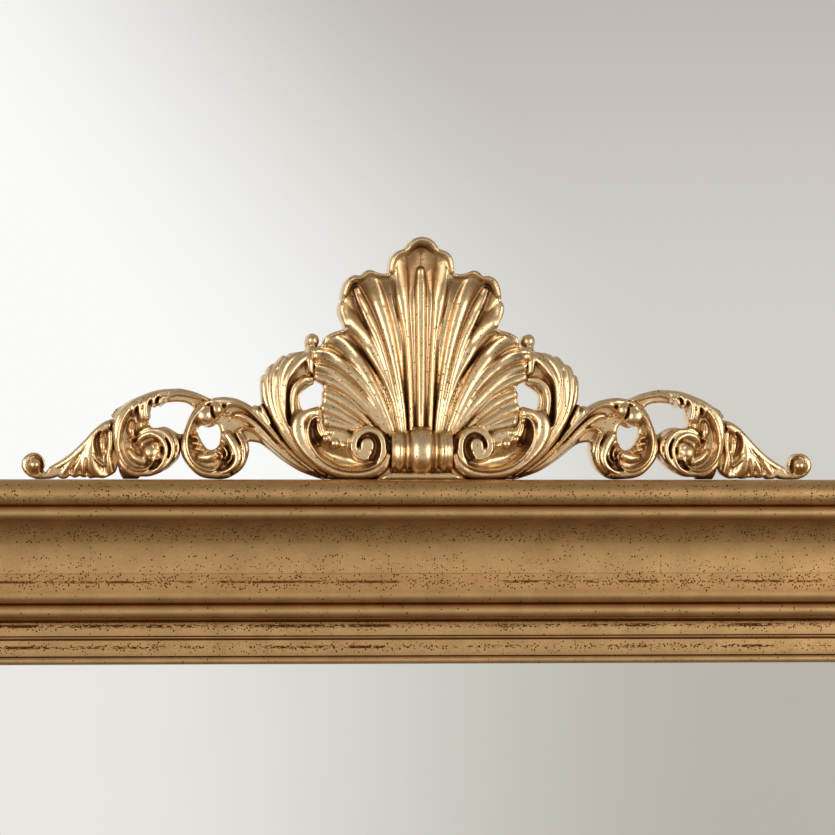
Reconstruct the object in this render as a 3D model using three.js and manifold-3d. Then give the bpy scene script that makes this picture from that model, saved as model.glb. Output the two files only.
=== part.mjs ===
// Overmantel mirror: a gilt moulded frame with a carved shell crest, its liner, glass, back and hangings.
// Millimetres. The origin is the middle of the back panel's rear face. +X is the viewer's right, +Z is up,
// and the frame faces -Y, so a height h above the wall plane is at y = -h.
import * as THREE from 'three';
import { mergeVertices } from 'three/addons/utils/BufferGeometryUtils.js';
import Module from 'manifold-3d';

const wasm = await Module();
wasm.setup();

// Overall sizes
const frameWidth = 1220;
const frameHeight = 915;
const clearance = 0.3; // between neighbouring pieces
const mitreGlue = 0.3; // glue line between two mitred ends

// Outer moulding, measured inwards from its outer face and forwards from the wall
const rollRadius = 7.75;
const rollCentre = [8, 52];
const beadRadius = 4;
const beadCentre = [19.5, 53.5];
const rollFootDrop = 3; // the flat outer face stops this far below the roll's centre
const coveBack = 34;
const fasciaStart = 56;
const fasciaEnd = 68;
const fasciaHeight = 35;
const fasciaCrown = 1;
const fasciaFall = 0.4;
const quirkDepth = 0.9;
const innerBeadRadius = 4.1;
const innerBeadHeight = 28.5;
const outerRailWidth = 82;
const lipDepth = 12; // the lip that hides the liner's tongue
const lipBack = 20;

// Liner
const linerWidth = 39.7; // from its tongue to the sight edge
const linerFace = 27.5;
const linerHollow = 2.6; // width of the hollow beside the outer rail's lip
const linerHollowDepth = 3.5;
const linerFlatWidth = 10.4; // hollow and first flat together
const filletWidth = 2.3;
const filletDepth = 1.4;
const secondFlatDrop = 1.5;
const sightBeadRadius = 2.6;
const glassRebateWidth = 11;
const sightBack = 16;

// Glass, packing and back
const glassThickness = 4;
const glassEdgeRoom = 2; // between the glass edge and the liner
const boardThickness = 5.3;
const boardRebate = 7; // how far the board laps the outer rails
const blockLength = 60;
const blockFromMiddle = 255;

// Screws
const shankRadius = 1.5;
const headRadius = 3;
const slotWidth = 0.9;
const slotDepth = 0.9;
const boardScrewLength = 15;
const boardScrewSink = 0.4;
const strapScrewLength = 16;
const plateScrewLength = 12;
const boardScrewsAcross = [-480, -160, 160, 480];
const boardScrewsUp = [-190, 190];

// Strap hangers
const hangerInset = 32; // from the frame's outer face
const hangerHeight = 230; // hinge above the frame's middle
const strapWidth = 12;
const strapLength = 42;
const strapThickness = 1.5;
const strapScrewsDown = [16, 32]; // below the hinge
const strapScrewProud = 0.2;
const ringWire = 1.5;
const ringHalfWidth = 12;
const ringStraight = 8;
const ringBow = 10.5;
const ringCorner = 2;
const ringLeanDegrees = 4.4;
const knuckleWall = 1.2;

// Bumpers and V nails
const bumperRadius = 9;
const bumperHeight = 5;
const bumperInset = 30;
const nailLeg = 7;
const nailThickness = 1;
const nailDepth = 9;
const nailInset = 26;
const bumperChamfer = 2;

// Crest: distances out from the middle line and up from the top of the frame
const crestBack = 8;
const crestSlab = 12; // thickness of the carving's ground
const crestFront = 45; // nothing carved stands further forward
const collarRadius = 15.5;
const collarRoom = 1.7; // between the collar's belly and the rail
const collarUp = collarRadius + collarRoom;
const collarForward = 24;
const collarHalfLength = 18.1;
const footHalfLength = 26.5;
const footThickness = 3.9;
const footDepth = 28;
const footTip = 0.9; // height of the foot's thin ends
const dowelRadius = 2.5;
const dowelHalfLength = 14;
const dowelOut = 31;
const dowelForward = 14;
const plateWidth = 16;
const plateThickness = 2;
const plateOut = 45;
const plateDown = 22;
const plateUp = 16;
const plateScrewDown = 12;
const plateScrewUp = 9;

const arcSteps = 6; // of the mouldings
const roundSteps = 10; // facets of small round pieces
const frameTop = frameHeight / 2;
const linerOuter = outerRailWidth - lipDepth + clearance;
const linerLip = outerRailWidth + clearance;
const sightEdge = linerOuter + linerWidth;
const linerBack = boardThickness + clearance;
const glassWall = sightEdge - glassRebateWidth;
const glassEdge = glassWall + glassEdgeRoom;
const glassFront = sightBack - clearance;
const glassBack = glassFront - glassThickness;
const boardStep = linerOuter - clearance - boardRebate;
const boardEdge = boardStep + clearance;
const boardScrewInset = boardStep + boardRebate / 2;
const hingeBehind = clearance + knuckleWall + clearance + ringWire;

const gilt = new THREE.MeshStandardMaterial({ color: '#a88150', roughness: 0.42, metalness: 0.75 });
const giltCarving = new THREE.MeshStandardMaterial({ color: '#b58e58', roughness: 0.35, metalness: 0.8 });
const silvered = new THREE.MeshStandardMaterial({ color: '#c7c3bb', roughness: 0.04, metalness: 1 });
const board = new THREE.MeshStandardMaterial({ color: '#8f6c4a', roughness: 0.85, metalness: 0 });
const card = new THREE.MeshStandardMaterial({ color: '#b9a27e', roughness: 0.9, metalness: 0 });
const steel = new THREE.MeshStandardMaterial({ color: '#8e8c86', roughness: 0.4, metalness: 1 });
const brass = new THREE.MeshStandardMaterial({ color: '#b5924c', roughness: 0.35, metalness: 1 });
const beech = new THREE.MeshStandardMaterial({ color: '#c8a273', roughness: 0.7, metalness: 0 });
const rubber = new THREE.MeshStandardMaterial({ color: '#2b2a29', roughness: 0.8, metalness: 0 });

const mirror = new THREE.Group();

function solidOf(geometry) {
  geometry.deleteAttribute('normal');
  geometry.deleteAttribute('uv');
  const joined = mergeVertices(geometry, 1e-4);
  const triangles = new Uint32Array(joined.index.array);
  return new wasm.Manifold(new wasm.Mesh({
    numProp: 3, vertProperties: joined.attributes.position.array, triVerts: triangles,
  }));
}

function geometryOf(solid) {
  const mesh = solid.getMesh();
  const geometry = new THREE.BufferGeometry();
  geometry.setAttribute('position', new THREE.BufferAttribute(mesh.vertProperties, 3));
  geometry.setIndex(new THREE.BufferAttribute(mesh.triVerts, 1));
  return geometry;
}

function piece(name, solid, material, parent = mirror) {
  const mesh = new THREE.Mesh(geometryOf(solid), material);
  mesh.name = name;
  parent.add(mesh);
  return mesh;
}

const joinAll = solids => solids.reduce((sum, next) => sum.add(next));
const cutAll = (solid, cutters) => cutters.reduce((rest, cutter) => rest.subtract(cutter), solid);

// A box between two corners.
function block(low, high) {
  const size = high.map((value, axis) => value - low[axis]);
  const geometry = new THREE.BoxGeometry(...size);
  return solidOf(geometry.translate(...low.map((value, axis) => value + size[axis] / 2)));
}

// A flat outline seen from the front, standing from one height above the wall to another.
function slab(points, back, front) {
  const geometry = new THREE.ExtrudeGeometry(new THREE.Shape(points), {
    depth: front - back, bevelEnabled: false,
  });
  return solidOf(geometry.translate(0, 0, back).rotateX(Math.PI / 2));
}

// ---------- rails ----------

function outerProfile() {
  const shape = new THREE.Shape();
  const turn = Math.PI;
  shape.moveTo(0, 0);
  shape.lineTo(0, rollCentre[1] - rollFootDrop);
  shape.absarc(...rollCentre, rollRadius, turn * 1.08, turn * 0.04, true);
  shape.absarc(...beadCentre, beadRadius, turn * 1.08, 0, true);
  const coveFront = beadCentre[1];
  shape.absellipse(fasciaStart, coveFront, fasciaStart - beadCentre[0] - beadRadius,
    coveFront - coveBack, turn, turn * 1.5, false);
  shape.lineTo(fasciaStart, fasciaHeight);
  const fasciaFoot = fasciaHeight - fasciaFall;
  const fasciaMiddle = (fasciaStart + fasciaEnd) / 2;
  shape.quadraticCurveTo(fasciaMiddle, fasciaHeight + fasciaCrown, fasciaEnd, fasciaFoot);
  const beadStart = outerRailWidth - 2 * innerBeadRadius;
  shape.absellipse(fasciaEnd, innerBeadHeight, beadStart - fasciaEnd, fasciaFoot - innerBeadHeight,
    turn / 2, turn * 0.06, true);
  shape.lineTo(beadStart, innerBeadHeight - quirkDepth);
  shape.absarc(outerRailWidth - innerBeadRadius, innerBeadHeight, innerBeadRadius, turn * 0.97, 0, true);
  shape.lineTo(outerRailWidth, lipBack);
  shape.lineTo(outerRailWidth - lipDepth, lipBack);
  shape.lineTo(outerRailWidth - lipDepth, linerBack);
  shape.lineTo(boardStep, linerBack);
  shape.lineTo(boardStep, 0);
  return shape;
}

function linerProfile() {
  const shape = new THREE.Shape();
  const beadMiddle = sightEdge - sightBeadRadius;
  const filletStart = linerLip + linerFlatWidth;
  const filletEnd = filletStart + filletWidth;
  const quirk = linerFace - filletDepth;
  const secondFlat = linerFace - secondFlatDrop;
  shape.moveTo(linerOuter, linerBack);
  shape.lineTo(linerOuter, lipBack - clearance);
  shape.lineTo(linerLip, lipBack - clearance);
  shape.lineTo(linerLip, linerFace - linerHollowDepth);
  shape.quadraticCurveTo(linerLip + linerHollow * 0.7, linerFace - linerHollowDepth,
    linerLip + linerHollow, linerFace - 0.7);
  shape.quadraticCurveTo((linerLip + filletStart) / 2, linerFace + 0.7, filletStart, linerFace - 0.2);
  shape.lineTo(filletStart + 0.3, quirk);
  shape.quadraticCurveTo((filletStart + filletEnd) / 2, linerFace + 0.2, filletEnd - 0.3, quirk);
  shape.lineTo(filletEnd, quirk - 1);
  shape.lineTo(filletEnd + 0.6, secondFlat);
  shape.quadraticCurveTo((filletEnd + beadMiddle) / 2, secondFlat + 0.6,
    beadMiddle - sightBeadRadius, secondFlat - 0.5);
  shape.absarc(beadMiddle, secondFlat - sightBeadRadius, sightBeadRadius, Math.PI * 0.9, 0, true);
  shape.lineTo(sightEdge, sightBack);
  shape.lineTo(glassWall, sightBack);
  shape.lineTo(glassWall, linerBack);
  return shape;
}

// A profile run along a rail of the given outer length, both ends mitred at 45 degrees.
function railSolid(profile, length, outwards) {
  const geometry = new THREE.ExtrudeGeometry(profile, {
    depth: 2, curveSegments: arcSteps, bevelEnabled: false,
  });
  const place = geometry.attributes.position;
  const cutBack = mitreGlue / Math.SQRT2;
  for (let i = 0; i < place.count; i += 1) {
    const inwards = place.getX(i);
    const halfLength = length / 2 - inwards - cutBack;
    const along = (place.getZ(i) - 1) * halfLength;
    place.setXYZ(i, -along, -place.getY(i), outwards - inwards);
  }
  return solidOf(geometry);
}

// The four sides of a frame: name, turn about Y, length along, distance of the outer face.
const sides = [
  ['top', 0, frameWidth, frameHeight / 2],
  ['right', Math.PI / 2, frameHeight, frameWidth / 2],
  ['bottom', Math.PI, frameWidth, frameHeight / 2],
  ['left', -Math.PI / 2, frameHeight, frameWidth / 2],
];

// ---------- fasteners ----------

// A countersunk wood screw, its head's face at y = 0 and its tip at y = -length. Grown by a clearance and
// carried on past its head, it makes its hole.
function screwBody(length, grow = 0) {
  const shank = shankRadius + grow;
  const head = headRadius + grow;
  const tip = -length - grow;
  const points = [[0, tip], [shank, tip + shank], [shank, shank - head], [head, 0]];
  if (grow > 0) points.push([head, headRadius]);
  points.push([0, points.at(-1)[1]]);
  return solidOf(new THREE.LatheGeometry(points.map(point => new THREE.Vector2(...point)), roundSteps));
}

function slottedScrew(length) {
  const half = slotWidth / 2;
  return screwBody(length).subtract(block([-headRadius, -slotDepth, -half], [headRadius, slotDepth, half]));
}

const screwHole = (length, x, y, z) => screwBody(length, clearance).translate([x, y, z]);

function addScrew(name, length, x, y, z, material) {
  piece(name, slottedScrew(length), material).position.set(x, y, z);
}

// Board screws, round the panel's edge.
const boardScrews = [
  ...boardScrewsAcross.flatMap(x => [-1, 1].map(side => [x, side * (frameHeight / 2 - boardScrewInset)])),
  ...boardScrewsUp.flatMap(z => [-1, 1].map(side => [side * (frameWidth / 2 - boardScrewInset), z])),
];
const boardHoles = () => boardScrews.map(([x, z]) => screwHole(boardScrewLength, x, -boardScrewSink, z));

// Screws of the two strap hangers.
const strapBehind = clearance + strapThickness;
const hangerOut = frameWidth / 2 - hangerInset;
const strapScrews = [-1, 1].flatMap(side => strapScrewsDown.map(down =>
  [side * hangerOut, strapBehind + strapScrewProud, hangerHeight - down]));
const strapHoles = () => strapScrews.map(place => screwHole(strapScrewLength, ...place));

// Screws of the two crest plates.
const plateBack = crestBack - clearance - plateThickness;
const plateScrews = [-1, 1].flatMap(side => [-plateScrewDown, plateScrewUp].map(up =>
  [side * plateOut, -plateBack, frameTop + up]));
const plateHoles = () => plateScrews.map(place => screwHole(plateScrewLength, ...place));

// A V nail across a mitre, seen from the front; its point lies on the mitre line.
function nailOutline(grow) {
  const half = nailThickness / 2 + grow;
  const reach = nailLeg + grow;
  const slope = Math.PI / 3;
  const tipAlong = reach * Math.cos(slope);
  const tipAcross = reach * Math.sin(slope);
  const shiftAlong = half / Math.sin(slope);
  return [
    [-shiftAlong, 0], [tipAlong - shiftAlong, tipAcross], [tipAlong + shiftAlong, tipAcross],
    [shiftAlong, 0], [tipAlong + shiftAlong, -tipAcross], [tipAlong - shiftAlong, -tipAcross],
  ].map(point => new THREE.Vector2(...point));
}

// Laid in the corner towards (sideX, sideZ), driven in from the back.
function nailAt(sideX, sideZ, grow) {
  const back = grow > 0 ? -1 : clearance;
  const turn = Math.atan2(-sideZ, -sideX);
  const points = nailOutline(grow).map(point => point.rotateAround(new THREE.Vector2(), turn));
  const nail = slab(points, back, clearance + nailDepth + grow);
  return nail.translate([sideX * (frameWidth / 2 - nailInset), 0, sideZ * (frameHeight / 2 - nailInset)]);
}

const corners = [[-1, -1], [-1, 1], [1, -1], [1, 1]];
const cornerNames = ['lower_left', 'upper_left', 'lower_right', 'upper_right'];

const dowelPlace = side => [side * dowelOut, -dowelForward, frameTop];

function dowelBody(grow = 0) {
  const half = dowelHalfLength + grow;
  const geometry = new THREE.CylinderGeometry(dowelRadius + grow, dowelRadius + grow, 2 * half, roundSteps);
  return solidOf(geometry.rotateX(Math.PI / 2));
}

const dowelHoles = () => [-1, 1].map(side => dowelBody(clearance).translate(dowelPlace(side)));

// The pocket behind each crest plate, in the back of the top rail.
const platePockets = () => [-1, 1].map(side => {
  const half = plateWidth / 2 + clearance;
  return block([side * plateOut - half, -crestBack, frameTop - plateDown - clearance],
    [side * plateOut + half, 1, frameTop + 1]);
});

function addFrame() {
  const cutters = [
    ...boardHoles(), ...strapHoles(), ...plateHoles(), ...dowelHoles(), ...platePockets(),
    ...corners.map(([x, z]) => nailAt(x, z, clearance)),
  ];
  for (const [name, turn, length, outwards] of sides) {
    const turnDegrees = THREE.MathUtils.radToDeg(turn);
    const local = cutters.map(cutter => cutter.rotate([0, -turnDegrees, 0]));
    const rail = cutAll(railSolid(outerProfile(), length, outwards), local);
    piece(`outer_rail_${name}`, rail, gilt).rotation.y = turn;
    piece(`liner_rail_${name}`, railSolid(linerProfile(), length, outwards), gilt).rotation.y = turn;
  }
  corners.forEach(([x, z], index) => piece(`v_nail_${cornerNames[index]}`, nailAt(x, z, 0), steel));
}

// ---------- glass and back ----------

// A flat sheet whose edges lie the given distance inside the frame's outer faces.
function sheet(inset, back, front) {
  const halfWidth = frameWidth / 2 - inset;
  const halfHeight = frameHeight / 2 - inset;
  return block([-halfWidth, -front, -halfHeight], [halfWidth, -back, halfHeight]);
}

function addGlassAndBack() {
  piece('mirror_glass', sheet(glassEdge, glassBack, glassFront), silvered);
  piece('packing_sheet', sheet(glassWall + clearance, linerBack, glassBack - clearance), card);
  piece('backing_board', cutAll(sheet(boardEdge, 0, boardThickness), boardHoles()), board);
  const low = -(frameHeight / 2 - glassWall - clearance);
  const high = -(frameHeight / 2 - glassEdge + clearance);
  for (const [name, side] of [['left', -1], ['right', 1]]) {
    const start = side * blockFromMiddle - blockLength / 2;
    const seat = block([start, -glassFront, low], [start + blockLength, -glassBack, high]);
    piece(`setting_block_${name}`, seat, beech);
  }
  boardScrews.forEach(([x, z], index) =>
    addScrew(`board_screw_${index + 1}`, boardScrewLength, x, -boardScrewSink, z, steel));
}

// ---------- hangers and bumpers ----------

// A closed wire of round section along a flat loop in the XZ plane.
function wireLoop(points, radius, around) {
  const count = points.length;
  const vertices = [];
  const triangles = [];
  for (let i = 0; i < count; i += 1) {
    const before = points[(i + count - 1) % count];
    const after = points[(i + 1) % count];
    const along = after.clone().sub(before).normalize();
    for (let j = 0; j < around; j += 1) {
      const angle = 2 * Math.PI * j / around;
      const out = radius * Math.cos(angle);
      vertices.push(points[i].x + out * along.y, radius * Math.sin(angle), points[i].y - out * along.x);
      const next = (i + 1) % count;
      const turn = (j + 1) % around;
      triangles.push(i * around + j, i * around + turn, next * around + turn);
      triangles.push(i * around + j, next * around + turn, next * around + j);
    }
  }
  const geometry = new THREE.BufferGeometry();
  geometry.setAttribute('position', new THREE.Float32BufferAttribute(vertices, 3));
  geometry.setIndex(triangles);
  return solidOf(geometry);
}

// The D of the ring: its bar on the hinge line and its bow above, run anticlockwise seen from the front.
function ringLine() {
  const path = new THREE.Path();
  const corner = ringCorner;
  path.moveTo(-ringHalfWidth + corner, 0);
  path.lineTo(ringHalfWidth - corner, 0);
  path.absarc(ringHalfWidth - corner, corner, corner, -Math.PI / 2, 0, false);
  path.lineTo(ringHalfWidth, ringStraight);
  path.absellipse(0, ringStraight, ringHalfWidth, ringBow, 0, Math.PI, false);
  path.lineTo(-ringHalfWidth, corner);
  path.absarc(-ringHalfWidth + corner, corner, corner, Math.PI, Math.PI * 1.5, false);
  const points = path.getPoints(3);
  return points.filter((point, index) => index === 0
    || (point.distanceTo(points[index - 1]) > 0.01 && point.distanceTo(points[0]) > 0.01));
}

function strapSolid() {
  const half = strapWidth / 2;
  const plate = block([-half, clearance, -strapLength], [half, clearance + strapThickness, 0]);
  const inner = ringWire + clearance;
  const outer = inner + knuckleWall;
  const knuckle = new THREE.CylinderGeometry(outer, outer, strapWidth, roundSteps).rotateZ(Math.PI / 2);
  const bore = new THREE.CylinderGeometry(inner, inner, strapWidth + 2, roundSteps).rotateZ(Math.PI / 2);
  const loop = solidOf(knuckle).translate([0, hingeBehind, 0]);
  return plate.add(loop).subtract(solidOf(bore).translate([0, hingeBehind, 0]));
}

function addHangers() {
  for (const [name, side] of [['left', -1], ['right', 1]]) {
    const hanger = new THREE.Group();
    hanger.position.set(side * hangerOut, 0, hangerHeight);
    mirror.add(hanger);
    const headFace = strapBehind + strapScrewProud;
    const holes = strapScrewsDown.map(down => screwHole(strapScrewLength, 0, headFace, -down));
    piece(`hanger_strap_${name}`, cutAll(strapSolid(), holes), brass, hanger);
    const ring = piece(`hanger_ring_${name}`, wireLoop(ringLine(), ringWire, 6), brass, hanger);
    ring.position.y = hingeBehind;
    ring.rotation.x = THREE.MathUtils.degToRad(ringLeanDegrees);
    const edge = [[0, 0], [bumperRadius, 0], [bumperRadius, bumperHeight - bumperChamfer],
      [bumperRadius - bumperChamfer, bumperHeight], [0, bumperHeight]];
    const profile = edge.map(point => new THREE.Vector2(...point));
    const pad = piece(`wall_bumper_${name}`, solidOf(new THREE.LatheGeometry(profile, 20)), rubber);
    pad.position.set(side * (frameWidth / 2 - bumperInset), clearance, bumperInset - frameHeight / 2);
  }
  strapScrews.forEach((place, index) => {
    const name = index < strapScrewsDown.length ? 'left' : 'right';
    const number = index % strapScrewsDown.length + 1;
    addScrew(`hanger_screw_${name}_${number}`, strapScrewLength, ...place, brass);
  });
}

// ---------- crest ----------

// Runs of [out, up] points, each ending where the next begins; side is -1 left, 1 right.
function outline(runs, side) {
  const points = [];
  for (const run of runs) {
    const line = run.map(([out, up]) => new THREE.Vector2(side * out, frameTop + up));
    points.push(...line.slice(0, -1));
  }
  return points;
}

// The same outline moved outwards by the clearance.
function grown(points) {
  const turn = THREE.ShapeUtils.isClockWise(points) ? -1 : 1;
  return points.map((point, index) => {
    const before = points[(index + points.length - 1) % points.length];
    const after = points[(index + 1) % points.length];
    const first = point.clone().sub(before).normalize();
    const second = after.clone().sub(point).normalize();
    const along = first.clone().add(second).normalize();
    const reach = clearance / Math.max(0.5, along.dot(second));
    return new THREE.Vector2(point.x + turn * reach * along.y, point.y - turn * reach * along.x);
  });
}

const roomFor = points => slab(grown(points), crestBack - 1, crestFront);

// A carved member along [out, up, half width, front height] points: flat backed, with sloping shoulders.
function member(places, side, stepsEach = 1.5) {
  const line = new THREE.CatmullRomCurve3(places.map(([out, up]) => new THREE.Vector3(side * out, up, 0)));
  const size = new THREE.CatmullRomCurve3(places.map(place => new THREE.Vector3(place[2], place[3], 0)));
  const steps = Math.ceil(stepsEach * (places.length - 1));
  const vertices = [];
  const triangles = [];
  const ring = 5;
  for (let i = 0; i <= steps; i += 1) {
    const spot = line.getPoint(i / steps);
    const ahead = line.getPoint(Math.min(1, (i + 0.5) / steps));
    const behind = line.getPoint(Math.max(0, (i - 0.5) / steps));
    const along = ahead.sub(behind).normalize();
    const { x: half, y: front } = size.getPoint(i / steps);
    const shoulder = Math.max(crestBack + 1, front - half * 0.8);
    const section = [[-1, crestBack], [-1, shoulder], [0, front], [1, shoulder], [1, crestBack]];
    for (const [across, height] of section) {
      const shift = across * half;
      vertices.push(spot.x - shift * along.y, -height, frameTop + spot.y + shift * along.x);
    }
  }
  for (let i = 0; i < steps; i += 1) {
    for (let j = 0; j < ring; j += 1) {
      const a = i * ring + j;
      const b = i * ring + (j + 1) % ring;
      triangles.push(a, a + ring, b + ring, a, b + ring, b);
    }
  }
  const last = steps * ring;
  for (let j = 1; j < ring - 1; j += 1) {
    triangles.push(0, j, j + 1, last, last + j + 1, last + j);
  }
  const geometry = new THREE.BufferGeometry();
  geometry.setAttribute('position', new THREE.Float32BufferAttribute(vertices, 3));
  geometry.setIndex(triangles);
  return solidOf(geometry);
}

const members = (lists, side) => lists.map(list => member(list, side));

function ball(out, up, forward, radius, side) {
  const geometry = new THREE.SphereGeometry(radius, roundSteps, roundSteps / 2);
  return solidOf(geometry).translate([side * out, -forward, frameTop + up]);
}

// A domed column from the carving's back to a ball's height, so that the ball is carried.
function boss(out, up, forward, radius, side) {
  const length = forward - crestBack;
  const geometry = new THREE.CylinderGeometry(radius * 0.9, radius * 0.9, length, roundSteps);
  const column = solidOf(geometry).translate([side * out, -crestBack - length / 2, frameTop + up]);
  return column.add(ball(out, up, forward, radius, side));
}

const scrollRuns = [
  [[78.6, 41], [79, 34], [77.8, 26], [74.5, 19], [69, 12.5], [62, 7], [54, 3], [48, 0.3]],
  [[48, 0.3], [34, 0.3]],
  [[34, 0.3], [28, 2], [22.6, 6], [19.2, 11.5], [18.4, 17], [19.2, 22.5], [22.4, 28], [27.5, 31.2],
    [34, 31.8], [39.5, 29.8], [43, 27]],
  [[43, 27], [48, 26], [53, 25.6], [57, 28], [57.6, 33], [56.6, 38], [57.6, 42], [60.4, 44.8]],
  [[60.4, 44.8], [64.1, 43.4], [69.5, 41.3], [72.6, 42.8], [76.4, 42.8], [78.6, 41]],
];

const shellRuns = [
  [[0, 145.2], [6.8, 142.5], [9.8, 138]],
  [[9.8, 138], [15.8, 135.7], [18.7, 129.7], [19.9, 123.2]],
  [[19.9, 123.2], [26.5, 123.5], [30.6, 125.1], [36.6, 121.7]],
  [[36.6, 121.7], [43.1, 120.8], [46.7, 115.4], [48, 108.3], [49.4, 101.2], [46.7, 94], [46.7, 89.5]],
  [[46.7, 89.5], [54.4, 87.2], [57.9, 83.6], [58.8, 80.6]],
  [[58.8, 80.6], [62.5, 79.3], [65.3, 75.5], [65, 70.5], [62.3, 67.3]],
  [[62.3, 67.3], [63.9, 62], [63.4, 58.6], [60.6, 57]],
  [[60.6, 57], [57.2, 55], [56.4, 52.4], [57.6, 50.2], [61.4, 45.6]],
  [[61.4, 45.6], [59, 40], [58.8, 33], [57.5, 26.5], [50, 24.6], [40, 27], [30, 29], [22, 24]],
  [[22, 24], [0, 24]],
];

const leafRuns = [
  [[92.5, 41], [95, 50], [95.3, 58.2], [93.1, 62.9]],
  [[93.1, 62.9], [91, 66.3], [87.4, 69.6], [84.9, 71.1]],
  [[84.9, 71.1], [83.4, 73.1], [81.2, 74.4], [80, 73.9]],
  [[80, 73.9], [75, 76.1], [69.5, 76.6], [65.5, 77.8]],
  [[65.5, 77.8], [64, 74], [62, 66], [61.5, 59]],
  [[61.5, 59], [65.6, 55.6], [68.5, 53.8], [71.2, 51.2], [72.6, 47.6], [72.6, 42]],
  [[72.6, 42], [77, 40], [77.4, 33], [75.6, 25], [71.5, 17.5]],
  [[71.5, 17.5], [79, 24.5], [85, 32], [92.5, 41]],
];

const stemRuns = [
  [[143.4, 13.8], [140, 9], [134, 3.4], [127.3, 0.9], [122, 0.3]],
  [[122, 0.3], [117, 0.3]],
  [[117, 0.3], [112, 1.6], [108.2, 4.3], [103.8, 10.9], [102.2, 18.4], [102.4, 23.4]],
  [[102.4, 23.4], [97, 22.6], [90, 17.8], [81.4, 11.4], [70.5, 6], [62, 3], [56, 0.3]],
  [[56, 0.3], [50, 0.3]],
  [[50, 0.3], [53, 4.5], [61, 8.6], [68, 14.5], [78, 25.5], [86, 35.5], [92, 44]],
  [[92, 44], [96.6, 44.9], [98.8, 44.3], [100.4, 43.6]],
  [[100.4, 43.6], [103.2, 45], [109.5, 47.7], [115.7, 49.1], [122, 48.9], [126.5, 48.8]],
  [[126.5, 48.8], [131, 46], [135.1, 41.9], [139.2, 35.5], [141.6, 28.5], [142.9, 26.2]],
  [[142.9, 26.2], [143.7, 20], [143.4, 13.8]],
];

const stemHoleRuns = [
  [[132.4, 31.8], [130.6, 33], [126, 31.6], [121.4, 33.3]],
  [[121.4, 33.3], [119.2, 29.5], [120, 24], [121.3, 19.9], [125.1, 18.1], [129, 19.8], [131.7, 24.3],
    [133.1, 29], [132.4, 31.8]],
];

const archRuns = [
  [[182.6, 34.5], [182.9, 38.8], [181.4, 41.6], [175.9, 45.4], [168.9, 49.2], [160.4, 52.3],
    [150.4, 54], [141.2, 53.9], [132.9, 51.7], [126.5, 48.9]],
  [[126.5, 48.9], [132.5, 41.5]],
  [[132.5, 41.5], [136.6, 43.4], [140, 45.3], [145.8, 46.3], [152.1, 45.6], [157, 44.1], [160.7, 43.4]],
  [[160.7, 43.4], [161.5, 39.8], [161, 37.5], [162.2, 33.2], [160.8, 31.1]],
  [[160.8, 31.1], [157.7, 30.9], [153.1, 32], [148.5, 28.9], [144.2, 27.5], [141, 25.6]],
  [[141, 25.6], [142, 20], [142.2, 14.8]],
  [[142.2, 14.8], [148.8, 8.7], [154.4, 3.8], [160.4, 1.8], [167.5, 1.2], [168.5, 0.3]],
  [[168.5, 0.3], [173.5, 0.3]],
  [[173.5, 0.3], [177.6, 2], [179.3, 6], [180.2, 11]],
  [[180.2, 11], [182.4, 17.3], [183.7, 26.6], [182.6, 34.5]],
];

const tailRuns = [
  [[221.5, 7.2], [215, 10.7], [208.4, 15.7], [201, 23.6], [193.8, 30.5], [187.2, 34.8], [184, 35.4],
    [181.6, 33.5]],
  [[181.6, 33.5], [182.6, 26.6], [181.4, 17.3], [180.9, 10], [183.3, 3.8]],
  [[183.3, 3.8], [187.6, 1.3], [190.5, 0.9]],
  [[190.5, 0.9], [197, 0.3], [201.5, 2.3]],
  [[201.5, 2.3], [205, 1], [208, 2]],
  [[208, 2], [212.5, 0.3], [216, 2.2]],
  [[216, 2.2], [220, 1.6], [223.5, 0.3], [229, 0.3]],
  [[229, 0.3], [236.2, 4.5], [237.8, 9], [236, 13.6], [231, 16.2], [226, 14.2], [223.8, 9.2], [224.8, 5.6]],
  [[224.8, 5.6], [222.8, 4.6], [221.5, 7.2]],
];

// Bosses: out, up, height of the ball's middle, radius.
const leafKnob = [65.2, 84, 20, 3.8];
const leafNeck = [[69, 73, 1.8, 20], [66.6, 79, 1.5, 21], [65.4, 84, 2, 22]];
const stemBosses = [[127.4, 38.2, 24, 4.4], [122.2, 42, 26, 2.8]];
const archBoss = [166, 10.6, 20, 4.6];
const tailBoss = [230.9, 8.8, 17, 6.6];

const rimHeight = 31;

const scrollMembers = [
  [[64, 35.5, 1, 27], [67.4, 30, 1.5, 30], [67.4, 24, 1.6, rimHeight], [64, 16.5, 1.6, rimHeight],
    [57.5, 10, 1.6, rimHeight], [48, 5.6, 1.6, rimHeight], [38, 4.9, 1.6, rimHeight],
    [28.6, 8, 1.7, 32], [22.6, 14, 1.8, 33], [22.2, 21, 1.8, 34], [26.5, 27, 1.8, 34],
    [33.5, 29, 1.8, 34], [40, 25.6, 1.8, 34], [41.6, 19, 1.8, 34], [37.6, 13.4, 1.6, 34]],
  [[38.4, 20.6, 1, 32], [34.6, 25, 2.2, 34], [29.6, 23.6, 2.6, 35], [29, 18.4, 2.6, 35], [34, 15.6, 2, 34]],
  [[76.6, 40, 1.2, 26], [76.4, 33, 1.4, 28], [74.6, 26, 1.4, 28], [70.6, 18.4, 1.4, 28],
    [64.4, 11.4, 1.4, 28], [56, 5.6, 1.4, 26]],
];

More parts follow.
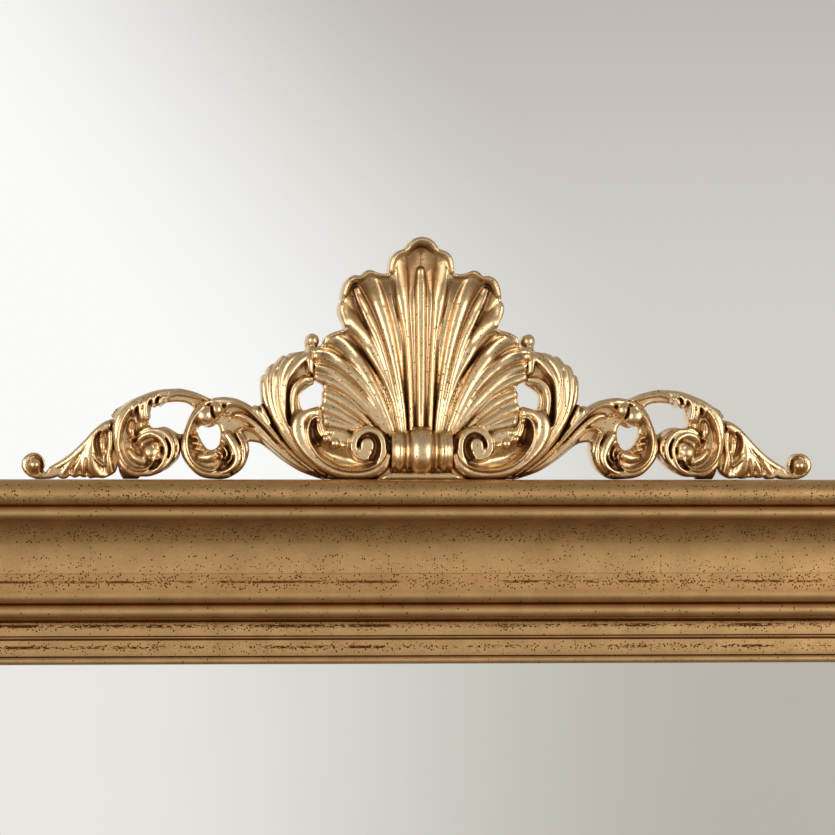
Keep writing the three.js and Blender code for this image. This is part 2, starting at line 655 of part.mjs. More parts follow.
const shellMembers = [
  [[13.2, 133, 3, 26], [11.8, 112, 3.4, 25], [9.6, 80, 2.6, 26], [8.4, 55, 2.2, 28], [7, 33.5, 1.6, 31]],
  [[29.6, 121, 3, 26], [24.6, 108, 3.2, 25], [19.4, 90, 2.6, 26], [14.8, 62, 2, 28], [12, 33.5, 1.5, 31]],
  [[40.2, 116, 3, 26], [34.4, 104, 3.2, 25], [27.4, 90, 2.6, 26], [20.2, 68, 2.2, 28], [14.6, 34, 1.4, 31]],
  [[46, 100, 3, 26], [39.4, 91, 3, 25], [30.6, 79.4, 2.6, 26], [22.6, 62, 2.2, 28], [16.4, 34, 1.4, 31]],
  [[54, 83.6, 3, 26], [44.6, 74.6, 2.8, 26], [36, 63.4, 2.4, 27], [26.6, 48, 2, 28], [19, 32.5, 1.4, 30]],
  [[58.6, 73.4, 3, 26], [46.4, 65, 2.8, 26], [36.6, 54.6, 2.4, 27], [28.6, 43.6, 2, 28],
    [22, 33, 1.4, 29]],
  [[60.4, 60.6, 2.6, 26], [50, 55.6, 2.6, 26], [41, 48.6, 2.2, 27], [30.6, 37.4, 1.6, 27]],
  [[56.6, 47.8, 2.2, 25], [48, 45, 2.4, 26], [39, 39.4, 2, 26], [32, 34.6, 1.4, 26]],
];

const leafMembers = [
  [[93.4, 60, 1.4, 22], [93.4, 50, 1.6, 23], [90.6, 41.5, 1.6, 24], [84.6, 32.6, 1.4, 25]],
  [[84, 71.4, 1.8, 24], [88.4, 62, 2.4, 26], [87.6, 48, 2.6, 28], [83, 34, 2, 28], [76.4, 23.6, 1.4, 26]],
  [[73, 73.6, 2.4, 27], [81, 67.6, 2.8, 29], [84.4, 56, 2.8, 31], [82.6, 42, 2.4, 31], [79.4, 31, 1.6, 28]],
  [[67.4, 70, 2.6, 30], [73.4, 63.6, 2.6, 31], [77.4, 55, 2.2, 30], [78.4, 45, 1.6, 28]],
  [[65.8, 62, 2, 27], [71, 57.4, 2, 27], [74.6, 50.4, 1.6, 26], [75, 44.6, 1.2, 24]],
];

const stemMembers = [
  [[117, 41.6, 1, 26], [112.6, 44.4, 1.3, 28], [105.6, 42.8, 1.4, 30], [98, 36.4, 1.4, 30],
    [90, 27.6, 1.4, 29], [80, 17.6, 1.4, 28], [68, 9, 1.3, 27], [57, 4, 1.2, 25]],
  [[109, 28.4, 1, 26], [104.4, 30.4, 1.2, 28], [97, 28.2, 1.3, 28], [88, 21.4, 1.3, 27],
    [76, 12.4, 1.3, 26], [62, 5.6, 1.1, 24]],
  [[127.6, 46.6, 1.2, 28], [133.6, 41.6, 1.4, 29], [138.6, 33, 1.5, 29], [141, 22, 1.6, 29],
    [138.2, 12, 1.6, 29], [131.4, 6.4, 1.5, 28], [124, 5.6, 1.2, 27], [119.6, 9.6, 1, 25]],
  [[114.6, 26.4, 1.6, 26], [109.6, 18, 2.4, 30], [110.4, 9.6, 2.2, 30], [115.6, 4.4, 1.6, 28],
    [121, 3.4, 1, 26]],
  [[107.6, 28, 1, 25], [104.6, 20, 1.4, 27], [105, 12, 1.6, 27], [109.4, 5.4, 1.2, 26]],
];

const archMembers = [
  [[129, 48.6, 1.4, 24], [137, 51.6, 1.3, 26], [146.4, 52.4, 1.3, 27], [157.6, 51, 1.3, 27],
    [168, 46.6, 1.4, 27], [176.4, 39.4, 1.6, 28], [180, 30, 1.7, 28], [180.6, 20, 1.6, 28],
    [177, 12, 1.5, 28], [170.4, 6.6, 1.5, 28], [163, 6.2, 1.4, 27], [159.2, 11.4, 1.2, 26]],
  [[159, 46.4, 1.4, 24], [165, 46, 2.2, 27], [165.4, 38.6, 2.2, 28], [163.6, 34.6, 1.6, 25]],
  [[171.6, 43, 1.8, 27], [175.6, 34, 2.4, 29], [177.4, 25, 2, 28], [174, 21.4, 1.6, 26]],
  [[166.6, 22.6, 1.4, 25], [160, 26.6, 2, 28], [152.6, 25, 2.4, 30], [147.6, 17.6, 2.4, 30],
    [150.4, 8.4, 2, 29], [157.6, 4.4, 1.4, 27]],
  [[157.4, 19, 2.6, 27], [155.4, 14, 3, 28], [157.6, 9.6, 2.4, 27]],
];

const tailMembers = [
  [[222.4, 5.4, 1.6, 18], [213.4, 9.6, 1.8, 20], [204.6, 16.8, 2.2, 22], [197, 25, 2.6, 24],
    [189.4, 31.6, 2.6, 26], [185.4, 32, 2, 26]],
  [[208.4, 3.8, 1.6, 19], [204.6, 12, 1.6, 20], [200, 20, 1.6, 22]],
  [[197.6, 3.6, 1.8, 21], [199.6, 12, 2.2, 23], [196, 21.6, 2.2, 25]],
  [[189.6, 3.4, 2.4, 23], [194.6, 10, 2, 25], [196.4, 16, 1.4, 25]],
  [[185.4, 4.8, 1.6, 22], [185.6, 16, 1.6, 25], [186.6, 26, 1.6, 26]],
];

function collarSolid(grow = 0) {
  const radius = collarRadius + grow;
  const ends = collarHalfLength + grow;
  const half = [[0, ends], [radius - 4.4, ends], [radius - 2.4, ends - 2.2], [radius - 4.2, ends - 4.2],
    [radius - 1.4, ends - 7], [radius - 2.2, ends - 9.6], [radius - 1.6, 6.8], [radius, 5]];
  const profile = [...half, ...half.map(([r, x]) => [r, -x]).reverse()];
  const geometry = new THREE.LatheGeometry(profile.map(([r, x]) => new THREE.Vector2(r, -x)), 20);
  return solidOf(geometry.rotateZ(Math.PI / 2)).translate([0, -collarForward, frameTop + collarUp]);
}

// One carved piece: its ground, the members that lie within its outline, and its bosses, cut clear of
// the pieces made before it.
function carved(points, lists, side, extras, neighbours) {
  const ground = slab(points, crestBack, crestBack + crestSlab);
  const within = slab(points, crestBack, crestFront);
  const raised = joinAll(members(lists, side)).intersect(within);
  return cutAll(joinAll([ground, raised, ...extras]), neighbours);
}

function addCrest() {
  const collar = collarSolid();
  const collarRoom = collarSolid(clearance);
  const fixings = [...plateHoles(), ...dowelHoles()];
  const scrolls = [-1, 1].map(side => outline(scrollRuns, side));
  const scrollRooms = scrolls.map(roomFor);
  piece('crest_collar', collar, giltCarving);

  const footEnd = footThickness + clearance;
  const foot = slab([[-footHalfLength, clearance], [footHalfLength, clearance], [footHalfLength, footTip],
    [collarHalfLength, footEnd], [-collarHalfLength, footEnd], [-footHalfLength, footTip],
  ].map(([x, up]) => new THREE.Vector2(x, frameTop + up)), crestBack, crestBack + footDepth);
  piece('crest_foot', cutAll(foot, [collarRoom, ...scrollRooms]), giltCarving);

  const shellLeft = outline(shellRuns, -1);
  const shellRight = outline(shellRuns, 1);
  const shellPoints = [...shellLeft, ...shellRight.reverse().slice(0, -1)];
  const tongue = member([[0, 129, 1.6, 25], [0, 115, 3.6, 26], [0, 80, 3, 27], [0, 33, 2.4, 31]], 1);
  const flutes = [-1, 1].flatMap(side => members(shellMembers, side));
  const raised = joinAll([tongue, ...flutes]).intersect(slab(shellPoints, crestBack, crestFront));
  const shell = slab(shellPoints, crestBack, crestBack + crestSlab).add(raised);
  piece('crest_shell', cutAll(shell, [collarRoom, ...scrollRooms]), giltCarving);
  const shellRoom = roomFor(shellPoints);

  [['left', -1], ['right', 1]].forEach(([name, side], index) => {
    const scrollRoom = scrollRooms[index];
    const scroll = carved(scrolls[index], scrollMembers, side, [], [collarRoom, ...fixings]);
    piece(`crest_scroll_${name}`, scroll, giltCarving);

    const leafLine = outline(leafRuns, side);
    const knob = ball(...leafKnob, side);
    const neck = member(leafNeck, side);
    const leaf = carved(leafLine, leafMembers, side, [knob, neck], [scrollRoom, shellRoom]);
    piece(`crest_leaf_${name}`, leaf, giltCarving);

    const stemLine = outline(stemRuns, side);
    const hole = slab(outline(stemHoleRuns, side), 0, crestFront);
    const balls = stemBosses.map(place => boss(...place, side));
    const stemCuts = [hole, scrollRoom, roomFor(leafLine)];
    piece(`crest_stem_${name}`, carved(stemLine, stemMembers, side, balls, stemCuts), giltCarving);

    const archLine = outline(archRuns, side);
    const archBall = boss(...archBoss, side);
    const arch = carved(archLine, archMembers, side, [archBall], [roomFor(stemLine)]);
    piece(`crest_arch_${name}`, arch, giltCarving);

    const tailBall = boss(...tailBoss, side);
    const tail = carved(outline(tailRuns, side), tailMembers, side, [tailBall], [roomFor(archLine)]);
    piece(`crest_tail_${name}`, tail, giltCarving);
  });
}

// Steel plates behind, let into the top rail and screwed to the rail and to the crest.
function addCrestFixings() {
  for (const [name, side] of [['left', -1], ['right', 1]]) {
    const half = plateWidth / 2;
    const plate = block([side * plateOut - half, -(plateBack + plateThickness), frameTop - plateDown],
      [side * plateOut + half, -plateBack, frameTop + plateUp]);
    piece(`crest_plate_${name}`, cutAll(plate, plateHoles()), steel);
    piece(`crest_dowel_${name}`, dowelBody(), beech).position.set(...dowelPlace(side));
  }
  plateScrews.forEach((place, index) => {
    const name = index < 2 ? 'left' : 'right';
    addScrew(`crest_screw_${name}_${index % 2 ? 'upper' : 'lower'}`, plateScrewLength, ...place, steel);
  });
}

addFrame();
addGlassAndBack();
addHangers();
addCrest();
addCrestFixings();

export default mirror;
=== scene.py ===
import math
import bpy
import bmesh
import numpy as np
from mathutils import Matrix, Vector, noise
from mathutils.geometry import delaunay_2d_cdt
from mathutils.kdtree import KDTree


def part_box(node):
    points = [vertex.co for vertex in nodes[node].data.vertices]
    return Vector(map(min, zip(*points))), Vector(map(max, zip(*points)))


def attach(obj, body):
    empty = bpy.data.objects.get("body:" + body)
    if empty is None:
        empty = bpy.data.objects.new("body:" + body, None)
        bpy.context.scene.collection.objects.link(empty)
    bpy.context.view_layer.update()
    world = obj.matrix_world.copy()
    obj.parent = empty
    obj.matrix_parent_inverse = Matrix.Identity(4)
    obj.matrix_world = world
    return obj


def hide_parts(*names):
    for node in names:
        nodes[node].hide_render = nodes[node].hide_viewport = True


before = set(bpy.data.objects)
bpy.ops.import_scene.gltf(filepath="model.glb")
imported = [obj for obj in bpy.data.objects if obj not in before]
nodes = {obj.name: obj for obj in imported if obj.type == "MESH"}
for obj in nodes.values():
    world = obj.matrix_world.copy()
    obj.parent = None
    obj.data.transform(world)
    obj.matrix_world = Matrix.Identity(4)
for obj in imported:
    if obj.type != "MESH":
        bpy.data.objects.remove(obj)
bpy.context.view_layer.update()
print("frame loaded:", len(nodes), "pieces")

mm = 0.001
scene = bpy.context.scene
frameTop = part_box("outer_rail_top")[1].z  # the crest's own zero, and half the frame's height
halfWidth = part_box("outer_rail_right")[1].x
sides = dict(left=-1, right=1)


# camera, light and room

view = dict(place=(-0.2246, -2.43, 0.441), target=(-0.0024, -0.03, 0.4947), lens=174.0, sensor=36.0, near=0.05)

room = dict(backLeft=(0.955, 0.955, 0.94), backRight=(0.64, 0.62, 0.575), backTop=(0.50, 0.475, 0.435),
            front=(0.51, 0.487, 0.432), glow=(0.86, 0.85, 0.815), above=(0.40, 0.38, 0.34),
            below=(0.20, 0.185, 0.16), floor=(0.74, 0.73, 0.71), floorDown=-1.5, floorSize=12, floorRough=0.9)

# where one part of the room fades into the next, along x, y or z of the line of sight
fades = dict(backTop=(0.04, 0.15), backRight=(0.0, 0.14), glowLeft=(-0.16, -0.04), glowRight=(0.17, 0.0),
             glowTop=(0.25, 0.05), above=(0.08, 0.72), below=(-0.42, -1.0), behind=(-0.1, 0.35),
             slantFrom=0.068, slant=0.7)

lamps = dict(
    leftWindow=dict(place=(-1.95, -2.0, 0.45), aim=(-0.1, 0, 0.5), size=(1.7, 1.9), power=43),
    rightWindow=dict(place=(1.95, -2.0, 0.45), aim=(0.1, 0, 0.5), size=(1.7, 1.9), power=39),
)
lampColour = (1.0, 0.97, 0.92)


def newObject(name, data):
    made = bpy.data.objects.new(name, data)
    scene.collection.objects.link(made)
    return made


def aimed(made, place, target):
    made.location = place
    made.rotation_mode = "QUATERNION"
    made.rotation_quaternion = (Vector(target) - Vector(place)).to_track_quat("-Z", "Y")


def makeCamera():
    data = bpy.data.cameras.new("camera")
    data.lens = view["lens"]
    data.sensor_width = view["sensor"]
    data.clip_start = view["near"]
    scene.camera = newObject("camera", data)
    aimed(scene.camera, view["place"], view["target"])


def makeLamps():
    for name, lamp in lamps.items():
        data = bpy.data.lights.new(name, "AREA")
        data.shape = "RECTANGLE"
        data.size, data.size_y = lamp["size"]
        data.energy = lamp["power"]
        data.color = lampColour
        aimed(newObject(name, data), lamp["place"], lamp["aim"])


class Wiring:
    # short calls for a node tree; a step is a node with its inputs filled, given by its first output
    def __init__(self, tree):
        self.tree = tree

    def node(self, kind, **settings):
        made = self.tree.nodes.new(kind)
        for key, value in settings.items():
            setattr(made, key, value)
        return made

    def fill(self, node, values):
        for label, value in values.items():
            if isinstance(value, bpy.types.NodeSocket):
                self.tree.links.new(value, node.inputs[label])
            elif value is not None:
                node.inputs[label].default_value = value

    def step(self, kind, values, **settings):
        made = self.node(kind, **settings)
        self.fill(made, values)
        return made.outputs[0]

    def math(self, operation, a, b, clamp=False):
        return self.step("ShaderNodeMath", {0: a, 1: b}, operation=operation, use_clamp=clamp)

    def times(self, a, b):
        return self.math("MULTIPLY", a, b)

    def plus(self, a, b, clamp=False):
        return self.math("ADD", a, b, clamp)

    def minus(self, a, b, clamp=False):
        return self.math("SUBTRACT", a, b, clamp)

    def most(self, a, b):
        return self.math("MAXIMUM", a, b)

    def mix(self, factor, a, b, blend="MIX"):
        made = self.node("ShaderNodeMix", data_type="RGBA", blend_type=blend, clamp_factor=True)
        self.fill(made, {0: factor, 6: tint(a), 7: tint(b)})
        return made.outputs[2]

    def span(self, value, low, high, toLow=0.0, toHigh=1.0):
        values = {0: value, 1: low, 2: high, 3: toLow, 4: toHigh}
        return self.step("ShaderNodeMapRange", values, interpolation_type="SMOOTHSTEP")

    def noise(self, vector, scale, detail=3.0, roughness=0.55):
        values = {"Vector": vector, "Scale": scale, "Detail": detail, "Roughness": roughness}
        return self.step("ShaderNodeTexNoise", values)

    def stretch(self, vector, scale):
        return self.step("ShaderNodeVectorMath", {0: vector, 1: scale}, operation="MULTIPLY")

    def split(self, vector):
        made = self.node("ShaderNodeSeparateXYZ")
        self.fill(made, {0: vector})
        return made.outputs

    def vector(self, x, y, z):
        return self.step("ShaderNodeCombineXYZ", {0: x, 1: y, 2: z})

    def place(self, ownMap=None):
        if ownMap:
            return self.node("ShaderNodeUVMap", uv_map=ownMap).outputs[0]
        return self.node("ShaderNodeTexCoord").outputs["Object"]

    def bump(self, height, strength, distance):
        return self.step("ShaderNodeBump", {"Strength": strength, "Distance": distance, "Height": height})


def tint(colour):
    if isinstance(colour, tuple) and len(colour) == 3:
        return (*colour, 1.0)
    return colour


def makeWorld():
    world = bpy.data.worlds.new("room")
    scene.world = world
    world.use_nodes = True
    world.node_tree.nodes.clear()
    wiring = Wiring(world.node_tree)
    x, y, z = wiring.split(wiring.node("ShaderNodeTexCoord").outputs["Generated"])

    def fade(way, name):
        return wiring.span(way, *fades[name])

    # the wall behind, brighter low on the left
    slant = wiring.plus(x, wiring.times(wiring.minus(z, fades["slantFrom"]), fades["slant"]))
    right = wiring.mix(fade(z, "backTop"), room["backRight"], room["backTop"])
    behind = wiring.mix(fade(slant, "backRight"), room["backLeft"], right)
    # the room in front: a pale glow, a dimmer ceiling and floor
    glow = wiring.times(wiring.times(fade(x, "glowLeft"), fade(x, "glowRight")), fade(z, "glowTop"))
    near = wiring.mix(glow, room["front"], room["glow"])
    rise = wiring.mix(fade(z, "above"), near, room["above"])
    front = wiring.mix(fade(z, "below"), rise, room["below"])
    both = wiring.mix(fade(y, "behind"), front, behind)
    background = wiring.step("ShaderNodeBackground", {"Color": both, "Strength": 1.0})
    out = wiring.node("ShaderNodeOutputWorld")
    wiring.fill(out, {"Surface": background})
    scene.view_settings.view_transform = "Standard"


def newMaterial(name):
    material = bpy.data.materials.new(name)
    material.use_nodes = True
    return material, Wiring(material.node_tree), material.node_tree.nodes["Principled BSDF"]


def makeFloor():
    bpy.ops.mesh.primitive_plane_add(size=room["floorSize"], location=(0, 0, room["floorDown"]))
    floor = bpy.context.object
    floor.name = "floor"
    material, wiring, surface = newMaterial("paleFloor")
    wiring.fill(surface, {"Base Color": tint(room["floor"]), "Roughness": room["floorRough"]})
    # the gilding reflects the room's own lower half and not this plain floor
    glossy = wiring.node("ShaderNodeLightPath").outputs["Is Glossy Ray"]
    clear = wiring.node("ShaderNodeBsdfTransparent").outputs[0]
    share = wiring.step("ShaderNodeMixShader", {0: glossy, 1: surface.outputs[0], 2: clear})
    wiring.fill(material.node_tree.nodes["Material Output"], {"Surface": share})
    floor.data.materials.append(material)


makeCamera()
makeLamps()
makeWorld()
makeFloor()
print("camera, lamps and room set")


# finishes

def newTree(name, kind, inputs, outputs):
    # a node tree with named sockets: its inputs are (label, kind, value)
    tree = bpy.data.node_groups.new(name, kind)
    for label, socketKind, value in inputs:
        socket = tree.interface.new_socket(label, in_out="INPUT", socket_type="NodeSocket" + socketKind)
        if value is not None:
            socket.default_value = value
    for label, socketKind in outputs:
        tree.interface.new_socket(label, in_out="OUTPUT", socket_type="NodeSocket" + socketKind)
    wiring = Wiring(tree)
    return wiring, wiring.node("NodeGroupInput").outputs, wiring.node("NodeGroupOutput")


# Gold leaf over brown bole. The noises are (scale, detail, roughness), and the pairs are where an effect starts
# and is full.
leaf = dict(cloud=(70.0, 4.0), fine=(900.0, 3.0, 0.6), drift=(210.0, 4.0, 0.65),
            mottle=((0.955, 0.945, 0.93), (1.03, 1.03, 1.03)), mottled=(0.35, 0.68),
            grain=((0.90, 0.88, 0.85), (1.05, 1.05, 1.05)), grained=(0.35, 0.65), grainShare=0.7,
            ragged=0.3, hollow=(0.18, 0.85), deep=(0.80, 1.25), deepShare=0.75,
            crowd=(0.20, 0.46), held=0.02, speckSmall=0.22, speckMore=0.18, speckEdge=0.05,
            rubAndShadePatina=0.8, rubAndShadeBlack=(0.5, 1.0), blackShare=0.94, stainDull=0.35,
            cloudy=(0.3, 0.7), cloudRough=0.06, dullRough=0.3, blackMetal=0.04,
            fineHigh=0.22, blackDeep=0.12, cloudHigh=0.9)


def makeAgedGilding():
    # dark in the hollows, mottled, with worm specks that come in drifts and rubbed patches; it also takes
    # painted shade
    wiring, given, out = newTree(
        "agedGilding", "ShaderNodeTree",
        [("Place", "Vector", None), ("Hollow", "Float", 0.0), ("Speck Field", "Float", 0.3),
         ("Rub And Groove Shade", "Float", 0.0), ("Gold", "Color", None), ("Patina", "Color", None), ("Dark", "Color", None),
         ("Speck Size", "Float", 620.0), ("Polish", "Float", 0.30)],
        [("Color", "Color"), ("Roughness", "Float"), ("Metallic", "Float"), ("Height", "Float")])
    place = given["Place"]
    cloud = wiring.noise(place, *leaf["cloud"])
    fine = wiring.noise(place, *leaf["fine"])
    mottle = wiring.mix(wiring.span(cloud, *leaf["mottled"]), *leaf["mottle"])
    gold = wiring.mix(1.0, given["Gold"], mottle, "MULTIPLY")
    grain = wiring.mix(wiring.span(fine, *leaf["grained"]), *leaf["grain"])
    gold = wiring.mix(leaf["grainShare"], gold, wiring.mix(1.0, gold, grain, "MULTIPLY"))
    ragged = wiring.plus(given["Hollow"], wiring.times(wiring.minus(fine, 0.5), leaf["ragged"]))
    hollow = wiring.span(ragged, *leaf["hollow"])
    deep = wiring.times(wiring.span(ragged, *leaf["deep"]), leaf["deepShare"])
    cells = wiring.node("ShaderNodeTexVoronoi", feature="F1")
    wiring.fill(cells, {"Vector": place, "Scale": given["Speck Size"]})
    chance = wiring.node("ShaderNodeSeparateColor")
    wiring.fill(chance, {0: cells.outputs["Color"]})
    drift = wiring.noise(place, *leaf["drift"])
    crowd = wiring.times(wiring.span(drift, *leaf["crowd"]), given["Speck Field"])
    held = wiring.span(wiring.minus(crowd, chance.outputs[0]), 0.0, leaf["held"])
    reach = wiring.plus(wiring.times(chance.outputs[1], leaf["speckMore"]), leaf["speckSmall"])
    edge = wiring.minus(reach, cells.outputs["Distance"])
    speck = wiring.times(wiring.span(edge, -leaf["speckEdge"], leaf["speckEdge"]), held)
    # on the rails rub is rubbed leaf; on the carvings it is painted shade that turns the deepest grooves
    # near-black
    rub = wiring.math("MINIMUM", given["Rub And Groove Shade"], 1.0)
    stainAndShade = wiring.most(hollow, wiring.times(rub, leaf["rubAndShadePatina"]))
    colour = wiring.mix(stainAndShade, gold, given["Patina"])
    black = wiring.most(wiring.most(speck, deep), wiring.span(rub, *leaf["rubAndShadeBlack"]))
    colour = wiring.mix(wiring.times(black, leaf["blackShare"]), colour, given["Dark"])
    dull = wiring.most(wiring.times(stainAndShade, leaf["stainDull"]), black)
    rough = wiring.times(wiring.span(cloud, *leaf["cloudy"]), leaf["cloudRough"])
    rough = wiring.plus(wiring.plus(given["Polish"], rough), wiring.times(dull, leaf["dullRough"]), clamp=True)
    metal = wiring.minus(1.0, wiring.times(black, leaf["blackMetal"]), clamp=True)
    height = wiring.minus(wiring.times(fine, leaf["fineHigh"]), wiring.times(black, leaf["blackDeep"]))
    height = wiring.plus(height, wiring.times(cloud, leaf["cloudHigh"]))
    wiring.fill(out, {"Color": colour, "Roughness": rough, "Metallic": metal, "Height": height})
    return wiring.tree


agedGilding = makeAgedGilding()


def gild(wiring, surface, values, fields, bump):
    # places the gilding group and feeds the surface
    gilding = wiring.node("ShaderNodeGroup")
    gilding.node_tree = agedGilding
    wiring.fill(gilding, {**values, **fields})
    given = gilding.outputs
    normal = wiring.bump(given["Height"], *bump)
    wiring.fill(surface, {"Base Color": given["Color"], "Roughness": given["Roughness"],
                          "Metallic": given["Metallic"], "Normal": normal})


def hollowOf(wiring, distance):
    # 0 on open ground, towards 1 in a narrow hollow
    shade = wiring.node("ShaderNodeAmbientOcclusion", samples=8, only_local=False)
    wiring.fill(shade, {"Distance": distance})
    return wiring.minus(1.0, shade.outputs["AO"])


mouldingGilt = {"Gold": (0.520, 0.319, 0.143, 1), "Patina": (0.34, 0.145, 0.045, 1),
                "Dark": (0.050, 0.016, 0.004, 1), "Polish": 0.36, "Speck Size": 690.0}
linerGilt = {"Gold": (0.53, 0.332, 0.153, 1), "Patina": (0.33, 0.14, 0.042, 1),
             "Dark": (0.042, 0.013, 0.003, 1), "Polish": 0.34, "Speck Size": 690.0}
carvingGilt = {"Gold": (0.715, 0.53, 0.32, 1), "Patina": (0.34, 0.20, 0.095, 1),
               "Dark": (0.07, 0.032, 0.014, 1), "Polish": 0.28, "Speck Size": 760.0}

# Bands across the moulding, in mm inwards from the outer face. Specks gather in [from, to, amount], and leaf is
# rubbed in [from, to, amount, how much of it holds].
mouldingWear = dict(specks=[(3, 14, 0.6), (8.5, 12, 1.0), (27, 37, 1.0), (45, 66, 0.45), (56, 64.5, 1.0)],
                    rubs=[(9.6, 11.2, 0.5, 0.50), (30.4, 33.0, 0.45, 0.52), (59.6, 61.8, 0.9, 0.46),
                          (57.5, 67.5, 0.34, 0.36), (22, 38, 0.40, 0.30), (15, 18, 0.4, 0.2)])
linerWear = dict(specks=[(84, 90, 0.9), (97, 103, 0.9)],
                 rubs=[(85.8, 88.2, 1.0, 0.475), (98.6, 100.8, 1.0, 0.49)])
# noises along the rail are ((stretch), scale, detail, roughness)
railWear = dict(gather=((1.0, 3.0, 1.0), 42.0, 4.0, 0.6), gathered=(0.36, 0.60, 0.35, 1.0), fewest=0.10,
                flakes=((1.0, 3.2, 1.0), 330.0, 5.0, 0.7), drift=((1.0, 0.2, 1.0), 26.0, 4.0, 0.6),
                speckFade=1.6, rubFade=0.8, rubEdge=0.05, hollowReach=0.010, hollowShare=1.15,
                bump=(0.5, 0.00025))
# the carvings' painted shade: one weight darkens the hollows under the shell's lip, and rub turns the deepest
# grooves near-black
carvingWear = dict(hollowReach=0.005, hollowShare=0.60, relief=0.24, paintedLipShade=0.62, specks=0.16, rub=(0.95, 1.35),
                   bump=(0.5, 0.00015))


def railFields(wiring, wear):
    # the rail's own map: x runs along the rail, y inwards from the outer face, both in metres
    own = wiring.place("rail")
    across = wiring.times(wiring.split(own)[1], 1000.0)

    def band(low, high, fade):
        rise = wiring.span(across, low - fade, low + fade)
        return wiring.times(rise, wiring.span(across, high + fade, high - fade))

    def cloud(name):
        stretched, *rest = railWear[name]
        return wiring.noise(wiring.stretch(own, stretched), *rest)

    specks = railWear["fewest"]
    for low, high, amount in wear["specks"]:
        specks = wiring.most(specks, wiring.times(band(low, high, railWear["speckFade"]), amount))
    specks = wiring.times(specks, wiring.span(cloud("gather"), *railWear["gathered"]))
    # rubbed streaks: fine ragged flakes inside long drifts
    streaks = wiring.plus(wiring.times(cloud("flakes"), 0.5), wiring.times(cloud("drift"), 0.5))
    rub = 0.0
    for low, high, amount, start in wear["rubs"]:
        held = wiring.span(streaks, start, start + railWear["rubEdge"])
        patch = wiring.times(held, band(low, high, railWear["rubFade"]))
        rub = wiring.most(rub, wiring.times(patch, amount))
    return specks, rub


def railMaterial(name, values, wear):
    material, wiring, surface = newMaterial(name)
    specks, rub = railFields(wiring, wear)
    shade = wiring.times(hollowOf(wiring, railWear["hollowReach"]), railWear["hollowShare"])
    fields = {"Place": wiring.place(), "Hollow": shade, "Speck Field": specks, "Rub And Groove Shade": rub}
    gild(wiring, surface, values, fields, railWear["bump"])
    return material


def carvingMaterial():
    # each carving's mesh says how far its ground lies in a hollow and how much painted shade it gets under the
    # shell's lip
    material, wiring, surface = newMaterial("carvedGilt")
    relief, paintedLipShade = [wiring.node("ShaderNodeAttribute", attribute_name=name).outputs["Fac"]
                      for name in ("relief", "paintedLipShade")]
    shade = wiring.plus(wiring.times(hollowOf(wiring, carvingWear["hollowReach"]), carvingWear["hollowShare"]),
                        wiring.times(relief, carvingWear["relief"]))
    # painted shade under the shell's lip
    shade = wiring.plus(shade, wiring.times(paintedLipShade, carvingWear["paintedLipShade"]))
    # the rub input here is painted shade: the deepest grooves go near-black
    fields = {"Place": wiring.place(), "Hollow": shade, "Speck Field": carvingWear["specks"],
              "Rub And Groove Shade": wiring.span(relief, *carvingWear["rub"])}
    gild(wiring, surface, carvingGilt, fields, carvingWear["bump"])
    return material


# noises are (scale, detail, roughness), and bump is (strength, distance in metres)
wood = dict(grain=(60.0, 6.0, 0.6), pores=(90.0, 3.0, 0.7), poresCloser=4, grained=(0.32, 0.68),
            pored=(0.6, 0.8), poreShare=0.5, roughened=(0.2, 0.8, 0.67, 0.83), bump=(0.35, 0.0003))
metal = dict(cloud=(220.0, 4.0), scratch=(700.0, 3.0, 0.7), scratchAlong=(1.0, 1.0, 8.0), stained=(0.45, 0.75),
             scratched=(0.2, 0.8), smoother=0.08, rougher=0.1, bump=(0.2, 0.0001))
matt = dict(fibres=(5.0, 0.7), mixed=(0.35, 0.65), bump=(0.3, 0.0002))
silvering = dict(cloud=(7.0, 4.0), clouded=(0.3, 0.7), tones=((0.93, 0.93, 0.92), (0.95, 0.95, 0.94)),
                 rough=(0.015, 0.03))


def woodMaterial(name, light, dark, along, ownMap=None):
    material, wiring, surface = newMaterial(name)
    place = wiring.place(ownMap)
    closer = tuple(wood["poresCloser"] * share for share in along)
    grain = wiring.noise(wiring.stretch(place, along), *wood["grain"])
    pores = wiring.noise(wiring.stretch(place, closer), *wood["pores"])
    colour = wiring.mix(wiring.span(grain, *wood["grained"]), light, dark)
    colour = wiring.mix(wiring.times(wiring.span(pores, *wood["pored"]), wood["poreShare"]), colour, dark)
    normal = wiring.bump(pores, *wood["bump"])
    wiring.fill(surface, {"Base Color": colour, "Roughness": wiring.span(grain, *wood["roughened"]),
                          "Normal": normal})
    return material


def metalMaterial(name, colour, tarnish, rough):
    material, wiring, surface = newMaterial(name)
    place = wiring.place()
    cloud = wiring.noise(place, *metal["cloud"])
    scratch = wiring.noise(wiring.stretch(place, metal["scratchAlong"]), *metal["scratch"])
    stained = wiring.mix(wiring.span(cloud, *metal["stained"]), colour, tarnish)
    worn = wiring.span(scratch, *metal["scratched"], rough - metal["smoother"], rough + metal["rougher"])
    wiring.fill(surface, {"Base Color": stained, "Metallic": 1.0, "Roughness": worn,
                          "Normal": wiring.bump(scratch, *metal["bump"])})
    return material


def mattMaterial(name, light, dark, scale, rough):
    material, wiring, surface = newMaterial(name)
    fibres = wiring.noise(wiring.place(), scale, *matt["fibres"])
    colour = wiring.mix(wiring.span(fibres, *matt["mixed"]), light, dark)
    normal = wiring.bump(fibres, *matt["bump"])
    wiring.fill(surface, {"Base Color": colour, "Roughness": rough, "Normal": normal})
    return material


